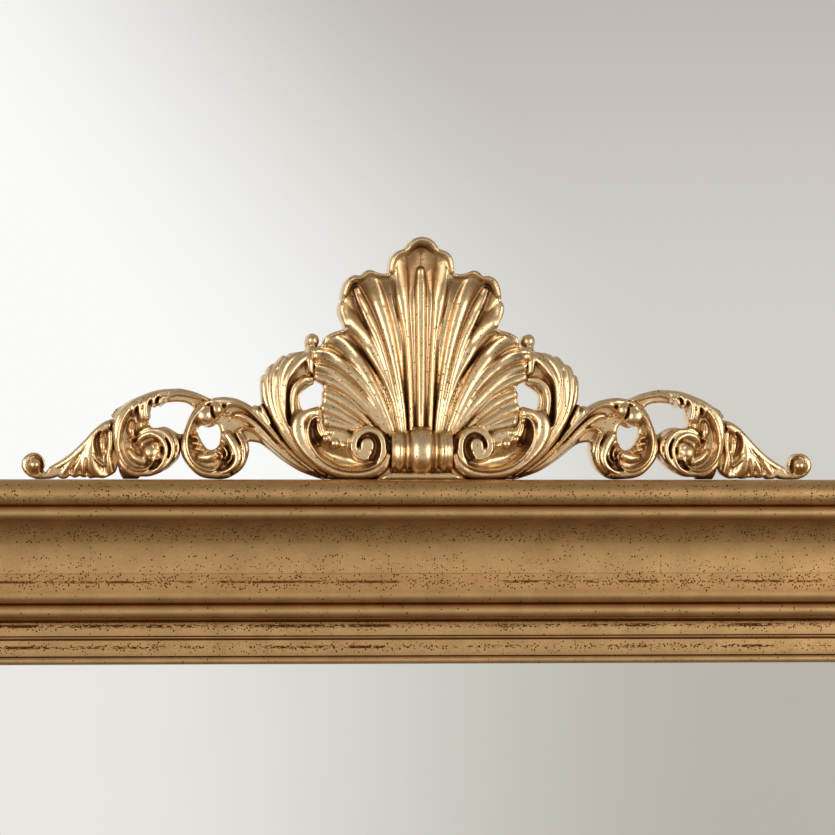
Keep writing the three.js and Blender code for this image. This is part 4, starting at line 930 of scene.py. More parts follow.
stemPiece = dict(
    ground=20, step=0.4, rounding=1.8, smoothing=4,
    outline=[
        [[125.8, 48.4], [118.7, 49.3], [111, 48.4], [105, 45.9], [100.9, 43.4]],
        [[100.9, 43.4], [99.2, 44.6], [97, 44.2], [94.6, 45.6], [93.6, 44.2]],
        [[93.6, 44.2], [91.6, 40], [87, 31], [81.5, 21.6], [71.3, 11.4], [61, 3.2], [56, 0.4]],
        [[56, 0.4], [58.6, 0.5], [66.3, 3], [72.3, 5.4], [78.2, 8.9], [84.2, 13.1], [90.1, 17.9],
            [94.9, 21.4], [99.1, 22.6], [103, 22.8]],
        [[103, 22.8], [102.6, 17.9], [104.4, 10.7], [107.4, 6], [112.2, 2.4], [116.9, 0.6], [122.9, 0.5],
            [128.8, 1.2], [133.6, 3.3], [137.7, 7.1], [141.3, 11.9], [142.8, 16.1], [143.1, 20.8],
            [141.9, 26.8], [140.1, 32.1], [137.7, 38.1], [134.8, 42.8], [131, 46.6], [125.8, 48.4]],
    ],
    holes=[[[[132.4, 31.5], [130, 32.4], [127, 31.3], [124.1, 31.9], [121.7, 33.3], [119.9, 31.5], [119.3, 28],
             [119.6, 23.8], [120.5, 20.8], [122.9, 18.4], [125.3, 17.9], [127.6, 18.7], [129.4, 20.8],
             [131.2, 23.8], [132.7, 26.8], [133, 29.8], [132.4, 31.5]]]],
    cuts=[
        # hollows first: the ring's inside, the bowl and the gutters along the stem
        ("scoop", [[134.6, 36, 3, 20], [136.6, 31, 4, 18.6], [137.6, 24, 4, 17.6], [135.4, 15, 5, 18],
            [129, 10.6, 5, 19], [122.6, 10, 3, 20]]),
        ("band", [[124.4, 46.6, 2.0, 27], [117.6, 47, 2.6, 28.4], [109.6, 46.4, 2.4, 28.8],
            [102.6, 43, 2.0, 28.4], [97, 38.6, 1.8, 28], [90.4, 30.6, 1.6, 27.6], [82, 20.4, 1.4, 27],
            [71, 10.6, 1.2, 26], [60.6, 3.4, 1.0, 25]]),
        ("rim", [[117.2, 42.6, 0.8, 27], [114.4, 45, 0.9, 29], [109.2, 44.8, 0.9, 29.8],
            [104.4, 42.3, 0.9, 29.8], [99.6, 38.2, 0.9, 29.4], [92.8, 31.4, 0.9, 29],
            [86, 23.6, 0.8, 28.4], [76, 13.6, 0.7, 27.4], [64, 4.8, 0.6, 26]]),
        ("band", [[112.8, 38.4, 1.0, 24], [107.4, 38.2, 1.8, 25.6], [101.6, 34.8, 2.0, 26],
            [95.6, 29.6, 1.8, 26], [88, 21.6, 1.6, 25.4], [78, 12.8, 1.4, 24.6], [66, 5.2, 1.0, 24]]),
        ("rim", [[110.2, 28.2, 0.8, 24], [107.6, 30, 0.9, 25.6], [104.6, 30.9, 1.0, 26.2],
            [100.4, 29.9, 1.0, 26.2], [95.4, 25.8, 1.0, 26], [88.6, 19.2, 0.9, 25.4],
            [79, 11.4, 0.8, 24.6], [68, 5, 0.7, 24]]),
        ("pit", [[118.4, 39, 0.8, 19], [115.6, 38.8, 1.2, 18.6], [112.6, 38.4, 0.8, 20]]),
        ("pit", [[114, 35, 2.2, 20], [108.6, 34, 1.6, 21], [103.6, 32.8, 0.9, 22]]),
        # the ring's left rim and the small lobes inside it
        ("band", [[127.6, 46.4, 1.6, 26.6], [133.4, 43, 2.2, 28], [138, 35.4, 2.2, 28.6],
            [141, 26, 2.0, 28.6], [141, 18, 2.4, 28.6], [138, 10.2, 2.8, 28.6], [131.6, 4.8, 2.8, 28.6],
            [123.6, 3, 2.6, 28.2], [116.4, 3.6, 2.6, 27.6]]),
        ("rim", [[130, 44, 0.8, 28.4], [134.2, 39, 0.9, 29.2], [137.4, 33.4, 1.0, 29.6],
            [139.6, 25.6, 1.0, 29.8], [139.4, 18, 1.0, 30], [136.6, 11.4, 1.0, 30], [131.8, 7.2, 1.0, 30],
            [126.6, 5.6, 1.0, 29.6], [122.6, 6.6, 0.9, 28.6], [120, 9.6, 0.9, 27.6],
            [119.3, 13, 0.8, 26.6]]),
        ("reed", [[136.8, 25.6, 1.0, 22], [134, 25.4, 1.3, 23.4], [132.4, 24, 1.0, 23]]),
        ("reed", [[136.2, 22, 1.1, 22], [133, 21.6, 1.4, 23.4], [131, 20.4, 1.0, 23]]),
        ("reed", [[134.6, 18.6, 1.2, 22], [131.4, 18, 1.3, 23], [129.6, 17.4, 1.0, 22.6]]),
        ("pit", [[136.6, 17.6, 0.8, 17.6], [133.4, 16.2, 1.0, 17.6], [130.4, 15.8, 0.6, 19]]),
        ("reed", [[132, 13.4, 2.2, 21], [127, 13.4, 2.8, 22.6], [122.6, 14.6, 2.4, 23.4]]),
        # curl of the leaf: bulges above the hole, the long tongue and its outer ridges to the right of it
        ("ball", [[129.2, 38.4, 6.4, 29.4], [122.6, 42, 4.8, 29.8], [124.6, 37.6, 3.0, 27.4]]),
        ("pit", [[125.4, 43.6, 0.5, 22], [124.9, 40.4, 0.6, 21], [123.6, 37, 0.5, 21]]),
        ("reed", [[115.6, 26.4, 2.6, 28.4], [111.8, 20.6, 3.0, 30], [109.6, 13.8, 2.6, 30.4],
            [111.8, 8.2, 2.0, 30], [117, 4.9, 1.3, 28.6], [121, 4.4, 0.8, 27.6]]),
        ("reed", [[110.2, 27.8, 1.2, 26], [107.2, 22, 1.4, 28], [106, 15, 1.4, 28.4],
            [107.6, 8.6, 1.3, 28], [112, 4.2, 1.1, 26.8]]),
        ("reed", [[107.4, 28, 1.1, 25], [104.4, 21.4, 1.3, 26.6], [103.9, 14.6, 1.2, 26.8],
            [105.8, 8.4, 1.1, 26.2], [109.8, 4, 0.9, 25.4]]),
        ("reed", [[119.6, 20.8, 1.0, 25], [117.4, 18.6, 1.1, 27], [116, 15.4, 1.0, 27.4],
            [117, 12.6, 0.9, 27]]),
        ("reed", [[121.6, 16.8, 0.9, 25.4], [119.4, 15.6, 1.0, 26.8], [118.6, 13.2, 0.8, 26.8]]),
        ("reed", [[115.2, 20.6, 0.8, 27], [113.4, 16.6, 0.9, 29], [113.6, 12.6, 0.9, 28.4],
            [116, 9.8, 0.9, 27]]),
        # tuft between the leaf and the stem
        ("reed", [[99, 43.4, 1.1, 27], [97.4, 40.6, 1.4, 28.6], [94, 35.6, 1.2, 28],
            [90.4, 30.4, 0.8, 27]]),
        ("reed", [[95.6, 44, 1.2, 27.6], [93.6, 39.6, 1.3, 28.4], [90.2, 33.8, 0.9, 27.4]]),
    ],
)

archPiece = dict(
    ground=19.5, step=0.4, rounding=1.6, smoothing=4,
    outline=[
        [[183.4, 40], [182, 42], [178, 44.4], [173.5, 47.2], [167.5, 49.9], [161.6, 52.2], [155.6, 53.7],
            [149.6, 54.2], [144.9, 54.3], [140.7, 53.7], [134.8, 52.1], [128.8, 49.6], [125.8, 48.2]],
        [[125.8, 48.2], [129.6, 45.6], [134.4, 42.4]],
        [[134.4, 42.4], [138.9, 45.6], [143.7, 46.6], [149.6, 46.4], [152.8, 45.6], [155, 43.4]],
        [[155, 43.4], [157, 44.2], [158.6, 43.2], [160.6, 43.6]],
        [[160.6, 43.6], [161.4, 40], [161.2, 37.4], [162.6, 34.8], [161.6, 32], [160.2, 30.8]],
        [[160.2, 30.8], [156.8, 30.9], [153.6, 31.7], [150.6, 31], [147.9, 29.4], [144.9, 27.6],
            [142, 27.4]],
        [[142, 27.4], [143.2, 22], [143.4, 17.9], [144.6, 12.8], [149.6, 7.7], [155.6, 4.2], [161.6, 2.1],
            [167.5, 1.9]],
        [[167.5, 1.9], [168.7, 0.5]],
        [[168.7, 0.5], [177.4, 0.5]],
        [[177.4, 0.5], [179.4, 4], [180.8, 10], [182.2, 17], [183.6, 25], [184, 32], [183.2, 36.6]],
        [[183.2, 36.6], [184.6, 38.2], [183.4, 40]],
    ],
    cuts=[
        ("scoop", [[172, 36, 5, 17.4], [171, 27, 4, 17.4], [169.4, 19.5, 3, 16.6], [168, 14, 4, 18],
            [163, 11, 3, 19]]),
        # outer band of the bowl, running up into the arch's top rim
        ("band", [[126.8, 47.6, 1.6, 26], [133.4, 50.4, 1.8, 26.6], [141, 52.3, 1.8, 27],
            [149.6, 52.4, 1.8, 27], [157.6, 51.2, 2.0, 27], [165.6, 48.2, 2.2, 27], [173, 44, 2.6, 27.4],
            [179, 37, 3.4, 28], [181.4, 28, 3.2, 28.2], [181.2, 19, 2.6, 28.2], [178, 10, 2.8, 28.2],
            [171.4, 4.4, 2.8, 28], [163.6, 3.6, 2.4, 27.4], [156, 5.6, 2.0, 26.8]]),
        ("rim", [[127.6, 47.6, 0.7, 27.2], [133, 49.4, 0.8, 27.8], [139, 51, 0.8, 28],
            [145.4, 51.6, 0.8, 28], [149.6, 50.6, 0.8, 28], [152.6, 47.8, 0.8, 27.6]]),
        ("rim", [[175, 41, 0.8, 28], [178.6, 34.6, 0.9, 29], [180.4, 26, 0.9, 29.4],
            [180.2, 18, 0.9, 29.4], [177.4, 11, 0.9, 29.4], [172.6, 6.8, 0.9, 29.2], [167.6, 5.7, 0.9, 29],
            [163.4, 6.8, 0.9, 28.4], [160.2, 10, 0.9, 27.6], [159.4, 14, 0.8, 26.6]]),
        ("rim", [[127.4, 46.4, 0.7, 26], [131.4, 44.6, 0.8, 26], [135.2, 43.6, 0.7, 25.4]]),
        # leaves that hang from the arch
        ("reed", [[151.6, 50, 1.0, 26.4], [155, 48.2, 1.5, 28], [156, 45.4, 1.5, 28]]),
        ("reed", [[155.4, 51, 1.0, 26.6], [159, 49, 1.4, 28], [159.8, 45.6, 1.4, 28]]),
        ("reed", [[159.4, 50.2, 1.0, 27], [163.4, 46.8, 1.5, 28.4], [164.6, 41.4, 1.9, 28.6],
            [163.6, 36.4, 2.0, 28], [162.6, 33.4, 1.4, 26.6]]),
        ("reed", [[163.4, 48.6, 1.0, 27], [167.2, 45, 1.3, 28.2], [167.8, 40.4, 1.3, 28],
            [166.8, 36, 1.2, 27]]),
        ("reed", [[167.8, 46.8, 1.0, 27], [171.2, 43, 1.4, 28.2], [171.6, 39.4, 1.1, 27]]),
        ("reed", [[172.6, 33.6, 1.8, 22], [172.8, 29.4, 2.4, 23.6], [171.6, 25.6, 1.6, 22.6]]),
        ("ball", [[173.6, 23.4, 1.7, 26.6], [170.8, 25.4, 1.1, 25.6]]),
        ("pit", [[174.9, 24.6, 0.5, 19], [174.6, 22.6, 0.5, 19], [173, 21.8, 0.5, 19]]),
        ("rim", [[169, 26.6, 0.6, 25], [168.8, 24, 0.7, 25.6], [170, 21.6, 0.6, 25]]),
        ("reed", [[174.2, 17.4, 1.4, 21], [170.6, 13.4, 2.4, 22], [165.6, 11, 2.6, 22.6]]),
        # the curled leaf's ridges, outer to inner
        ("reed", [[156, 31.2, 1.0, 25], [150.6, 28.8, 1.3, 26.6], [146.4, 24, 1.4, 27.4],
            [145, 18, 1.3, 27.4], [147.6, 12, 1.2, 27], [151.6, 7.6, 1.0, 26]]),
        ("reed", [[167.6, 28, 1.2, 26], [163.4, 30.2, 1.7, 27.6], [157.4, 30, 1.9, 28.6],
            [151.6, 26.4, 1.9, 29.2], [148.4, 20.4, 1.8, 29.6], [149.2, 13.6, 1.6, 29.4],
            [153, 8, 1.4, 28.6], [157.6, 4.8, 1.1, 27.6]]),
        ("reed", [[169, 22.6, 1.1, 25], [166.2, 25.8, 1.6, 27], [161, 27.4, 1.9, 28.4],
            [155.6, 25, 1.9, 29.4], [152.4, 19.4, 1.7, 30], [153, 13, 1.5, 29.8], [156, 7.8, 1.2, 28.6],
            [160, 5, 0.9, 27.4]]),
        ("ball", [[161, 16.4, 5.6, 27.2], [158.6, 19.2, 4.2, 26.8], [157.6, 14.6, 3.6, 26.6]]),
        ("pit", [[170.4, 20.6, 0.9, 17], [169.2, 18.6, 1.5, 16], [168.4, 17.4, 1.1, 17]]),
        ("band", [[176.6, 6, 1.6, 24], [174.4, 3, 2.0, 24], [171.4, 1.6, 1.4, 23]]),
    ],
)

tailPiece = dict(
    ground=21.4, step=0.4, rounding=1.4, smoothing=4,
    outline=[
        [[221.6, 7.4], [215.1, 11.3], [209.1, 15.5], [204.4, 19.8], [200.2, 24], [196.1, 28.6],
            [191.3, 32.9], [187.1, 35.2], [183.6, 36.2], [181.8, 35]],
        [[181.8, 35], [182.8, 30], [182.8, 24], [182, 17], [180.8, 11], [180.8, 8], [182, 4.6]],
        [[182, 4.6], [184.1, 3], [187.1, 1.6], [189.4, 0.9]],
        [[189.4, 0.9], [193.7, 1.2], [197, 0.8], [198.6, 2]],
        [[198.6, 2], [200.8, 1.4], [203.2, 2.2]],
        [[203.2, 2.2], [206.2, 1.2], [209.1, 2.4]],
        [[209.1, 2.4], [211.5, 0.7], [214.5, 0.7], [216.3, 1.9]],
        [[216.3, 1.9], [219.9, 0.7], [224, 0.4], [229.4, 0.4]],
        [[229.4, 0.4], [234.2, 2.6], [237.3, 6.4], [237.7, 10.4], [235.6, 14], [231.6, 16], [227.6, 15.4],
            [224.8, 12.6], [223.7, 9.2], [224.9, 5.9]],
        [[224.9, 5.9], [223.4, 4.6], [221.6, 7.4]],
    ],
    cuts=[
        ("ball", [[230.6, 8.7, 7.4, 23.6]]),
        ("pit", [[226.2, 4.4, 0.6, 18], [225.6, 8.4, 0.8, 17], [226.6, 12.2, 0.8, 18],
            [229.6, 13.9, 0.9, 18.6], [232.6, 12.8, 0.7, 20], [234.2, 10, 0.5, 21]]),
        ("ball", [[230.2, 8.9, 3.7, 25.6], [227.8, 5.6, 1.2, 23]]),
        ("rim", [[228.4, 6.4, 0.7, 22.4], [227, 3.9, 0.7, 22], [224.4, 2.2, 0.7, 21.4],
            [221.2, 1.6, 0.7, 21], [218, 2.8, 0.7, 21], [214.8, 4.9, 0.7, 21]]),
        # broad upper band and the leaf's back
        ("leanLeft", [[220.4, 6.6, 1.4, 21], [214.4, 9.6, 2.0, 22.4], [208.4, 13.8, 2.4, 23.6],
            [203.4, 18.4, 2.8, 24.6], [198.6, 23.6, 3.2, 25.4], [193.2, 29, 3.4, 26],
            [187.6, 32.6, 3.0, 26.4]]),
        ("reed", [[213.6, 2, 1.6, 21], [212.2, 5.4, 2.1, 22.4], [208.6, 10.4, 2.0, 23.2],
            [204.4, 15.4, 1.5, 23.6]]),
        ("reed", [[206.6, 2.4, 1.9, 21.6], [205.6, 6.6, 2.2, 23.2], [203.2, 11.4, 2.0, 24],
            [200.4, 16.4, 1.5, 24.4]]),
        ("reed", [[201.2, 2.8, 1.5, 22], [201.2, 7.4, 1.8, 23.8], [200.6, 12.8, 1.7, 24.8],
            [199, 18.4, 1.4, 25]]),
        ("band", [[192.4, 3.4, 3.6, 22.6], [195.6, 7.6, 4.2, 24.4], [197.4, 13.6, 3.8, 25.6],
            [196.4, 20.4, 3.2, 26], [192.6, 26.6, 2.6, 26]]),
        ("band", [[184.8, 4.6, 2.0, 22.6], [186, 9, 2.4, 24], [186.6, 14, 2.0, 24.6],
            [185.4, 21, 1.8, 25.6], [185.4, 28, 1.8, 26]]),
        ("rim", [[195.2, 15.2, 0.7, 26.2], [193.4, 11.6, 0.8, 26], [189.8, 8.6, 0.8, 25.2]]),
        ("pit", [[191.4, 28, 0.6, 21], [193.2, 24.6, 1.4, 19.6], [193.4, 20.4, 1.6, 18.6],
            [192, 16.2, 1.2, 19], [190.4, 13.4, 0.7, 20]]),
        ("reed", [[189.8, 25.4, 1.0, 22.4], [190, 20.6, 1.9, 23.6], [189.6, 16.6, 1.4, 23]]),
        ("groove", [[187.4, 24.4, 0.6, 1.4], [187.2, 18.6, 0.7, 1.6], [188.4, 13.2, 0.7, 1.7],
            [187.9, 9, 0.6, 1.4], [187.6, 3, 0.5, 1.0]]),
        ("groove", [[199.4, 3, 0.6, 1.2], [199.2, 8, 0.6, 1.1], [199.4, 12.6, 0.5, 0.8]]),
        ("groove", [[208.4, 4, 0.6, 1.4], [207, 8.4, 0.6, 1.2], [204, 13, 0.5, 0.8]]),
    ],
)

# the foot that the collar sits in
footPiece = dict(
    ground=27, step=0.5, rounding=1.0, smoothing=2,
    outline=[
        [[0, 9], [17.3, 9]], [[17.3, 9], [17.3, 4.1]], [[17.3, 4.1], [19.4, 4.0]], [[19.4, 4.0],
            [26.4, 0.1]],
        [[26.4, 0.1], [0, 0.1]],
    ],
    cuts=[("flat", [[0, 1.4, 2.9, 34.6], [18, 1.4, 2.8, 34.4], [23, 1.2, 2.0, 33.6], [25.6, 1, 1.2, 32]])],
)


def makeCrest():
    for name, piece, slot in (("Shell", shellPiece, "crest_shell"), ("Foot", footPiece, "crest_foot")):
        standFor(carvedMesh(f"carved{name}", piece, 0), "gilt_carving", slot)
    pieces = dict(scroll=scrollPiece, leaf=leafPiece, stem=stemPiece, arch=archPiece, tail=tailPiece)
    for sideName, side in sides.items():
        for part, piece in pieces.items():
            made = carvedMesh(f"carved_{part}_{sideName}", piece, side)
            standFor(made, "gilt_carving", f"crest_{part}_{sideName}")
    print("crest carved")


makeCrest()


# turned pieces, in mm along the axis and out from it

collar = dict(up=17.2, forward=24.0, steps=72, wobble=0.01, often=(0.3, 0.25), rows=[
    [0, 15.5], [2.0, 15.4], [3.6, 15.0], [5.0, 14.2], [6.1, 13.1], [6.9, 11.9], [7.15, 11.4], [7.35, 11.5],
    [7.8, 12.5], [8.4, 12.9], [9.0, 12.7], [9.5, 12.0], [9.8, 11.1], [10.1, 10.8], [10.5, 11.2], [11.2, 12.2],
    [12.2, 12.9], [13.3, 13.1], [14.4, 12.8], [15.2, 12.2], [15.7, 11.9], [16.3, 12.2], [17.2, 12.9],
    [18.05, 13.5], [18.1, 0]])

bumper = dict(radius=9.0, height=5.0, edge=2.0, edgeSteps=8, chamfer=0.3, wall=0.3, inset=30.0, steps=48)


def latheMesh(rows, steps):
    # a closed turned shape about the x axis, from rows of [along, radius] that end on the axis
    vertices, faces, rings = [], [], []
    for along, radius in rows:
        if radius < 1e-6:
            rings.append([len(vertices)] * steps)
            vertices.append((along, 0, 0))
            continue
        rings.append(list(range(len(vertices), len(vertices) + steps)))
        for i in range(steps):
            turn = math.tau * i / steps
            vertices.append((along, radius * math.cos(turn), radius * math.sin(turn)))
    for near, far in zip(rings, rings[1:]):
        for i in range(steps):
            j = (i + 1) % steps
            corners = list(dict.fromkeys([near[i], near[j], far[j], far[i]]))
            if len(corners) > 2:
                faces.append(corners)
    return vertices, faces


def facedOutwards(mesh, merge=False):
    work = bmesh.new()
    work.from_mesh(mesh)
    if merge:
        bmesh.ops.remove_doubles(work, verts=work.verts, dist=1e-7)
    bmesh.ops.recalc_face_normals(work, faces=work.faces)
    work.to_mesh(mesh)
    work.free()


def meshPiece(name, vertices, faces, material, sharp=40):
    mesh = bpy.data.meshes.new(name)
    mesh.from_pydata([tuple(v) for v in vertices], [], faces)
    facedOutwards(mesh, merge=True)
    smoothed(mesh, sharp)
    mesh.materials.append(material)
    return newObject(name, mesh)


def makeCollar():
    half = collar["rows"]
    rows = [[-along, radius] for along, radius in half[::-1]] + half[1:]
    vertices, faces = latheMesh(rows, collar["steps"])
    along, around = collar["often"]
    placed = []
    for x, y, z in vertices:
        swell = 1 + collar["wobble"] * noise.noise(Vector((x * along, y * around, z * around)))
        forward, up = y * swell - collar["forward"], z * swell + collar["up"]
        placed.append((x * mm, forward * mm, frameTop + up * mm))
    made = meshPiece("turnedCollar", placed, faces, finishes["carving"])
    standFor(made, "gilt_carving", "crest_collar")


def makeBumpers():
    radius, height, edge, chamfer = (bumper[key] for key in ("radius", "height", "edge", "chamfer"))
    rows = [[0, 0], [0, radius - chamfer], [chamfer, radius]]
    for i in range(bumper["edgeSteps"] + 1):
        turn = math.pi / 2 * i / bumper["edgeSteps"]
        rows.append([height - edge + edge * math.sin(turn), radius - edge + edge * math.cos(turn)])
    vertices, faces = latheMesh(rows + [[height, 0]], bumper["steps"])
    for sideName, side in sides.items():
        across = side * (halfWidth - bumper["inset"] * mm)
        down = -frameTop + bumper["inset"] * mm
        placed = [(across + y * mm, (x + bumper["wall"]) * mm, down + z * mm) for x, y, z in vertices]
        made = meshPiece(f"rubberBumper_{sideName}", placed, faces, finishes["rubber"])
        standFor(made, "black_rubber", f"wall_bumper_{sideName}")


makeCollar()
makeBumpers()
print("collar and bumpers turned")


# Moulding rails: a drawn section run along each side and mitred. All in mm, inwards from the outer face and
# forward from the wall.
outerRail = dict(width=82.0, roll=(8.0, 52.0, 7.75), rollFoot=49.0, bead=(19.5, 53.5, 4.0), coveBack=34.0,
                 fascia=(56.0, 68.0), fasciaHeight=35.0, fasciaCrown=1.0, fasciaFall=0.4, quirk=0.9,
                 innerBead=(77.9, 28.5, 4.1), lipBack=20.0, lipDepth=12.0, rebate=5.6, boardStep=63.0)
liner = dict(tongue=70.3, lip=82.3, lipBack=19.7, face=27.5, hollow=2.6, hollowDepth=3.5, flat=10.4,
             fillet=2.3, filletDepth=1.4, secondDrop=1.5, sightBead=2.6, sight=110.0, sightBack=16.0,
             glassWall=99.0, rebate=5.6, hollowTurn=0.7, crown=0.7, crownFall=0.2, filletIn=0.3,
             filletCrown=0.2, filletStep=1.0, secondIn=0.6, secondCrown=0.6, secondFall=0.5)
railRun = dict(mitreGap=0.212, waver=0.0035, wavesToMetre=22.0, sections=190, bareMargin=0.05,
               sharp=32)


def arcOf(centre, radii, fromTurn, toTurn, steps):
    # part of an ellipse, between angles in half turns
    turns = np.linspace(fromTurn * math.pi, toTurn * math.pi, steps + 1)
    return [(centre[0] + radii[0] * math.cos(t), centre[1] + radii[1] * math.sin(t)) for t in turns]


def bowOf(start, middle, end, steps=8):
    return [tuple((1 - t) ** 2 * a + 2 * t * (1 - t) * b + t * t * c for a, b, c in zip(start, middle, end))
            for t in np.linspace(0, 1, steps + 1)]


def outerSection():
    own = outerRail
    rollX, rollH, rollR = own["roll"]
    beadX, beadH, beadR = own["bead"]
    innerX, innerH, innerR = own["innerBead"]
    start, end = own["fascia"]
    width, lipBack, high = own["width"], own["lipBack"], own["fasciaHeight"]
    foot = high - own["fasciaFall"]
    inner = innerX - innerR
    lipInner = width - own["lipDepth"]
    section = [(0, 0), (0, 1.0), (0, own["rollFoot"])]
    section += arcOf((rollX, rollH), (rollR, rollR), 1.08, 0.04, 22)
    section += arcOf((beadX, beadH), (beadR, beadR), 1.02, 0, 14)
    section += arcOf((start, beadH), (start - beadX - beadR, beadH - own["coveBack"]), 1.0, 1.5, 26)[1:]
    section += [(start, high)]
    section += bowOf((start, high), ((start + end) / 2, high + own["fasciaCrown"]), (end, foot))[1:]
    section += arcOf((end, innerH), (inner - end, foot - innerH), 0.5, 0.06, 9)[1:]
    section += [(inner, innerH - own["quirk"])]
    section += arcOf((innerX, innerH), (innerR, innerR), 0.97, 0, 14)
    return section + [(width, lipBack), (lipInner, lipBack), (lipInner, own["rebate"]),
                      (own["boardStep"], own["rebate"]), (own["boardStep"], 0)]


def linerSection():
    own = liner
    lip, face, bead, rebate = own["lip"], own["face"], own["sightBead"], own["rebate"]
    filletStart = lip + own["flat"]
    filletEnd = filletStart + own["fillet"]
    lipFace, hollowEnd = face - own["hollowDepth"], lip + own["hollow"]
    quirk = face - own["filletDepth"]
    second = face - own["secondDrop"]
    beadMiddle = own["sight"] - bead
    section = [(own["tongue"], rebate), (own["tongue"], own["lipBack"]), (lip, own["lipBack"])]
    crown, filletIn = own["crown"], own["filletIn"]
    hollowTurn, secondTop = lip + own["hollow"] * own["hollowTurn"], second + own["secondCrown"]
    section += bowOf((lip, lipFace), (hollowTurn, lipFace), (hollowEnd, face - crown))
    section += bowOf((hollowEnd, face - crown), ((lip + filletStart) / 2, face + crown),
                     (filletStart, face - own["crownFall"]))[1:]
    section += bowOf((filletStart + filletIn, quirk),
                     ((filletStart + filletEnd) / 2, face + own["filletCrown"]), (filletEnd - filletIn, quirk))
    section += [(filletEnd, quirk - own["filletStep"])]
    section += bowOf((filletEnd + own["secondIn"], second), ((filletEnd + beadMiddle) / 2, secondTop),
                     (beadMiddle - bead, second - own["secondFall"]))
    section += arcOf((beadMiddle, second - bead), (bead, bead), 0.9, 0, 12)
    return section + [(own["sight"], own["sightBack"]), (own["glassWall"], own["sightBack"]),
                      (own["glassWall"], rebate)]


def makeRailTree():
    wiring, given, out = newTree(
        "mitredRail", "GeometryNodeTree",
        [("Geometry", "Geometry", None), ("Half Length", "Float", 0.6), ("Outwards", "Float", 0.45),
         ("Turn", "Float", 0.0), ("Mitre Gap", "Float", 0.0), ("Waver", "Float", 0.0),
         ("Bare Height", "Float", 0.02), ("Inner Edge", "Float", 0.082), ("Outer Edge", "Float", 0.0),
         ("Sections", "Int", 2), ("Gilding", "Material", None), ("Bare Wood", "Material", None)],
        [("Geometry", "Geometry")])
    section = wiring.step("GeometryNodeMeshToCurve", {"Mesh": given["Geometry"]})
    line = wiring.step("GeometryNodeCurvePrimitiveLine", {"Start": (-1, 0, 0), "End": (1, 0, 0)})
    cut = wiring.step("GeometryNodeResampleCurve", {"Curve": line, "Count": given["Sections"]})
    made = wiring.step("GeometryNodeCurveToMesh", {"Curve": cut, "Profile Curve": section, "Fill Caps": True})

    def placeNow():
        return wiring.node("GeometryNodeInputPosition").outputs[0]

    x, y, z = wiring.split(placeNow())
    reach = wiring.minus(wiring.plus(given["Half Length"], z), given["Mitre Gap"])
    mitred = wiring.vector(wiring.times(x, reach), y, z)
    made = wiring.step("GeometryNodeSetPosition", {"Geometry": made, "Position": mitred})
    # the rail's own map, along and inwards
    x, y, z = wiring.split(placeNow())
    inwards = wiring.times(z, -1.0)
    made = wiring.step("GeometryNodeStoreNamedAttribute",
                       {"Geometry": made, "Name": "rail", "Value": wiring.vector(x, inwards, 0.0)},
                       data_type="FLOAT2", domain="CORNER")
    # faces that look to the back or into the rebates stay bare wood
    low = wiring.math("LESS_THAN", wiring.times(y, -1.0), given["Bare Height"])
    within = wiring.math("GREATER_THAN", inwards, given["Outer Edge"])
    before = wiring.math("LESS_THAN", inwards, given["Inner Edge"])
    bare = wiring.times(wiring.times(low, within), before)
    made = wiring.step("GeometryNodeStoreNamedAttribute", {"Geometry": made, "Name": "bare", "Value": bare},
                       data_type="FLOAT", domain="FACE")
    lift = wiring.vector(0.0, 0.0, given["Outwards"])
    made = wiring.step("GeometryNodeSetPosition", {"Geometry": made, "Offset": lift})
    turn = wiring.vector(0.0, given["Turn"], 0.0)
    made = wiring.step("GeometryNodeTransform", {"Geometry": made, "Rotation": turn})
    # old gesso is never dead straight
    ripple = wiring.noise(placeNow(), railRun["wavesToMetre"], 2.0)
    forward = wiring.split(placeNow())[1]
    sink = wiring.times(wiring.times(forward, ripple), wiring.times(given["Waver"], -1.0))
    made = wiring.step("GeometryNodeSetPosition", {"Geometry": made, "Offset": wiring.vector(0.0, sink, 0.0)})
    made = wiring.step("GeometryNodeSetShadeSmooth", {"Geometry": made})
    made = wiring.step("GeometryNodeRealizeInstances", {0: made})
    made = wiring.step("GeometryNodeSetMaterial", {"Geometry": made, "Material": given["Gilding"]})
    flag = wiring.step("GeometryNodeInputNamedAttribute", {"Name": "bare"}, data_type="FLOAT")
    made = wiring.step("GeometryNodeSetMaterial", {"Geometry": made, "Material": given["Bare Wood"],
                                                   "Selection": wiring.math("GREATER_THAN", flag, 0.5)})
    wiring.fill(out, {0: made})
    return wiring.tree


def settled(made, modifier):
    # the modifier's result becomes the object's plain mesh
    bpy.context.view_layer.update()
    depsgraph = bpy.context.evaluated_depsgraph_get()
    mesh = bpy.data.meshes.new_from_object(made.evaluated_get(depsgraph), depsgraph=depsgraph)
    made.modifiers.remove(modifier)
    made.data = mesh
    return mesh


def grown(made, tree, values):
    modifier = made.modifiers.new("nodes", "NODES")
    modifier.node_group = tree
    for item in tree.interface.items_tree:
        if item.item_type == "SOCKET" and item.in_out == "INPUT" and item.name in values:
            modifier[item.identifier] = values[item.name]
    return settled(made, modifier)


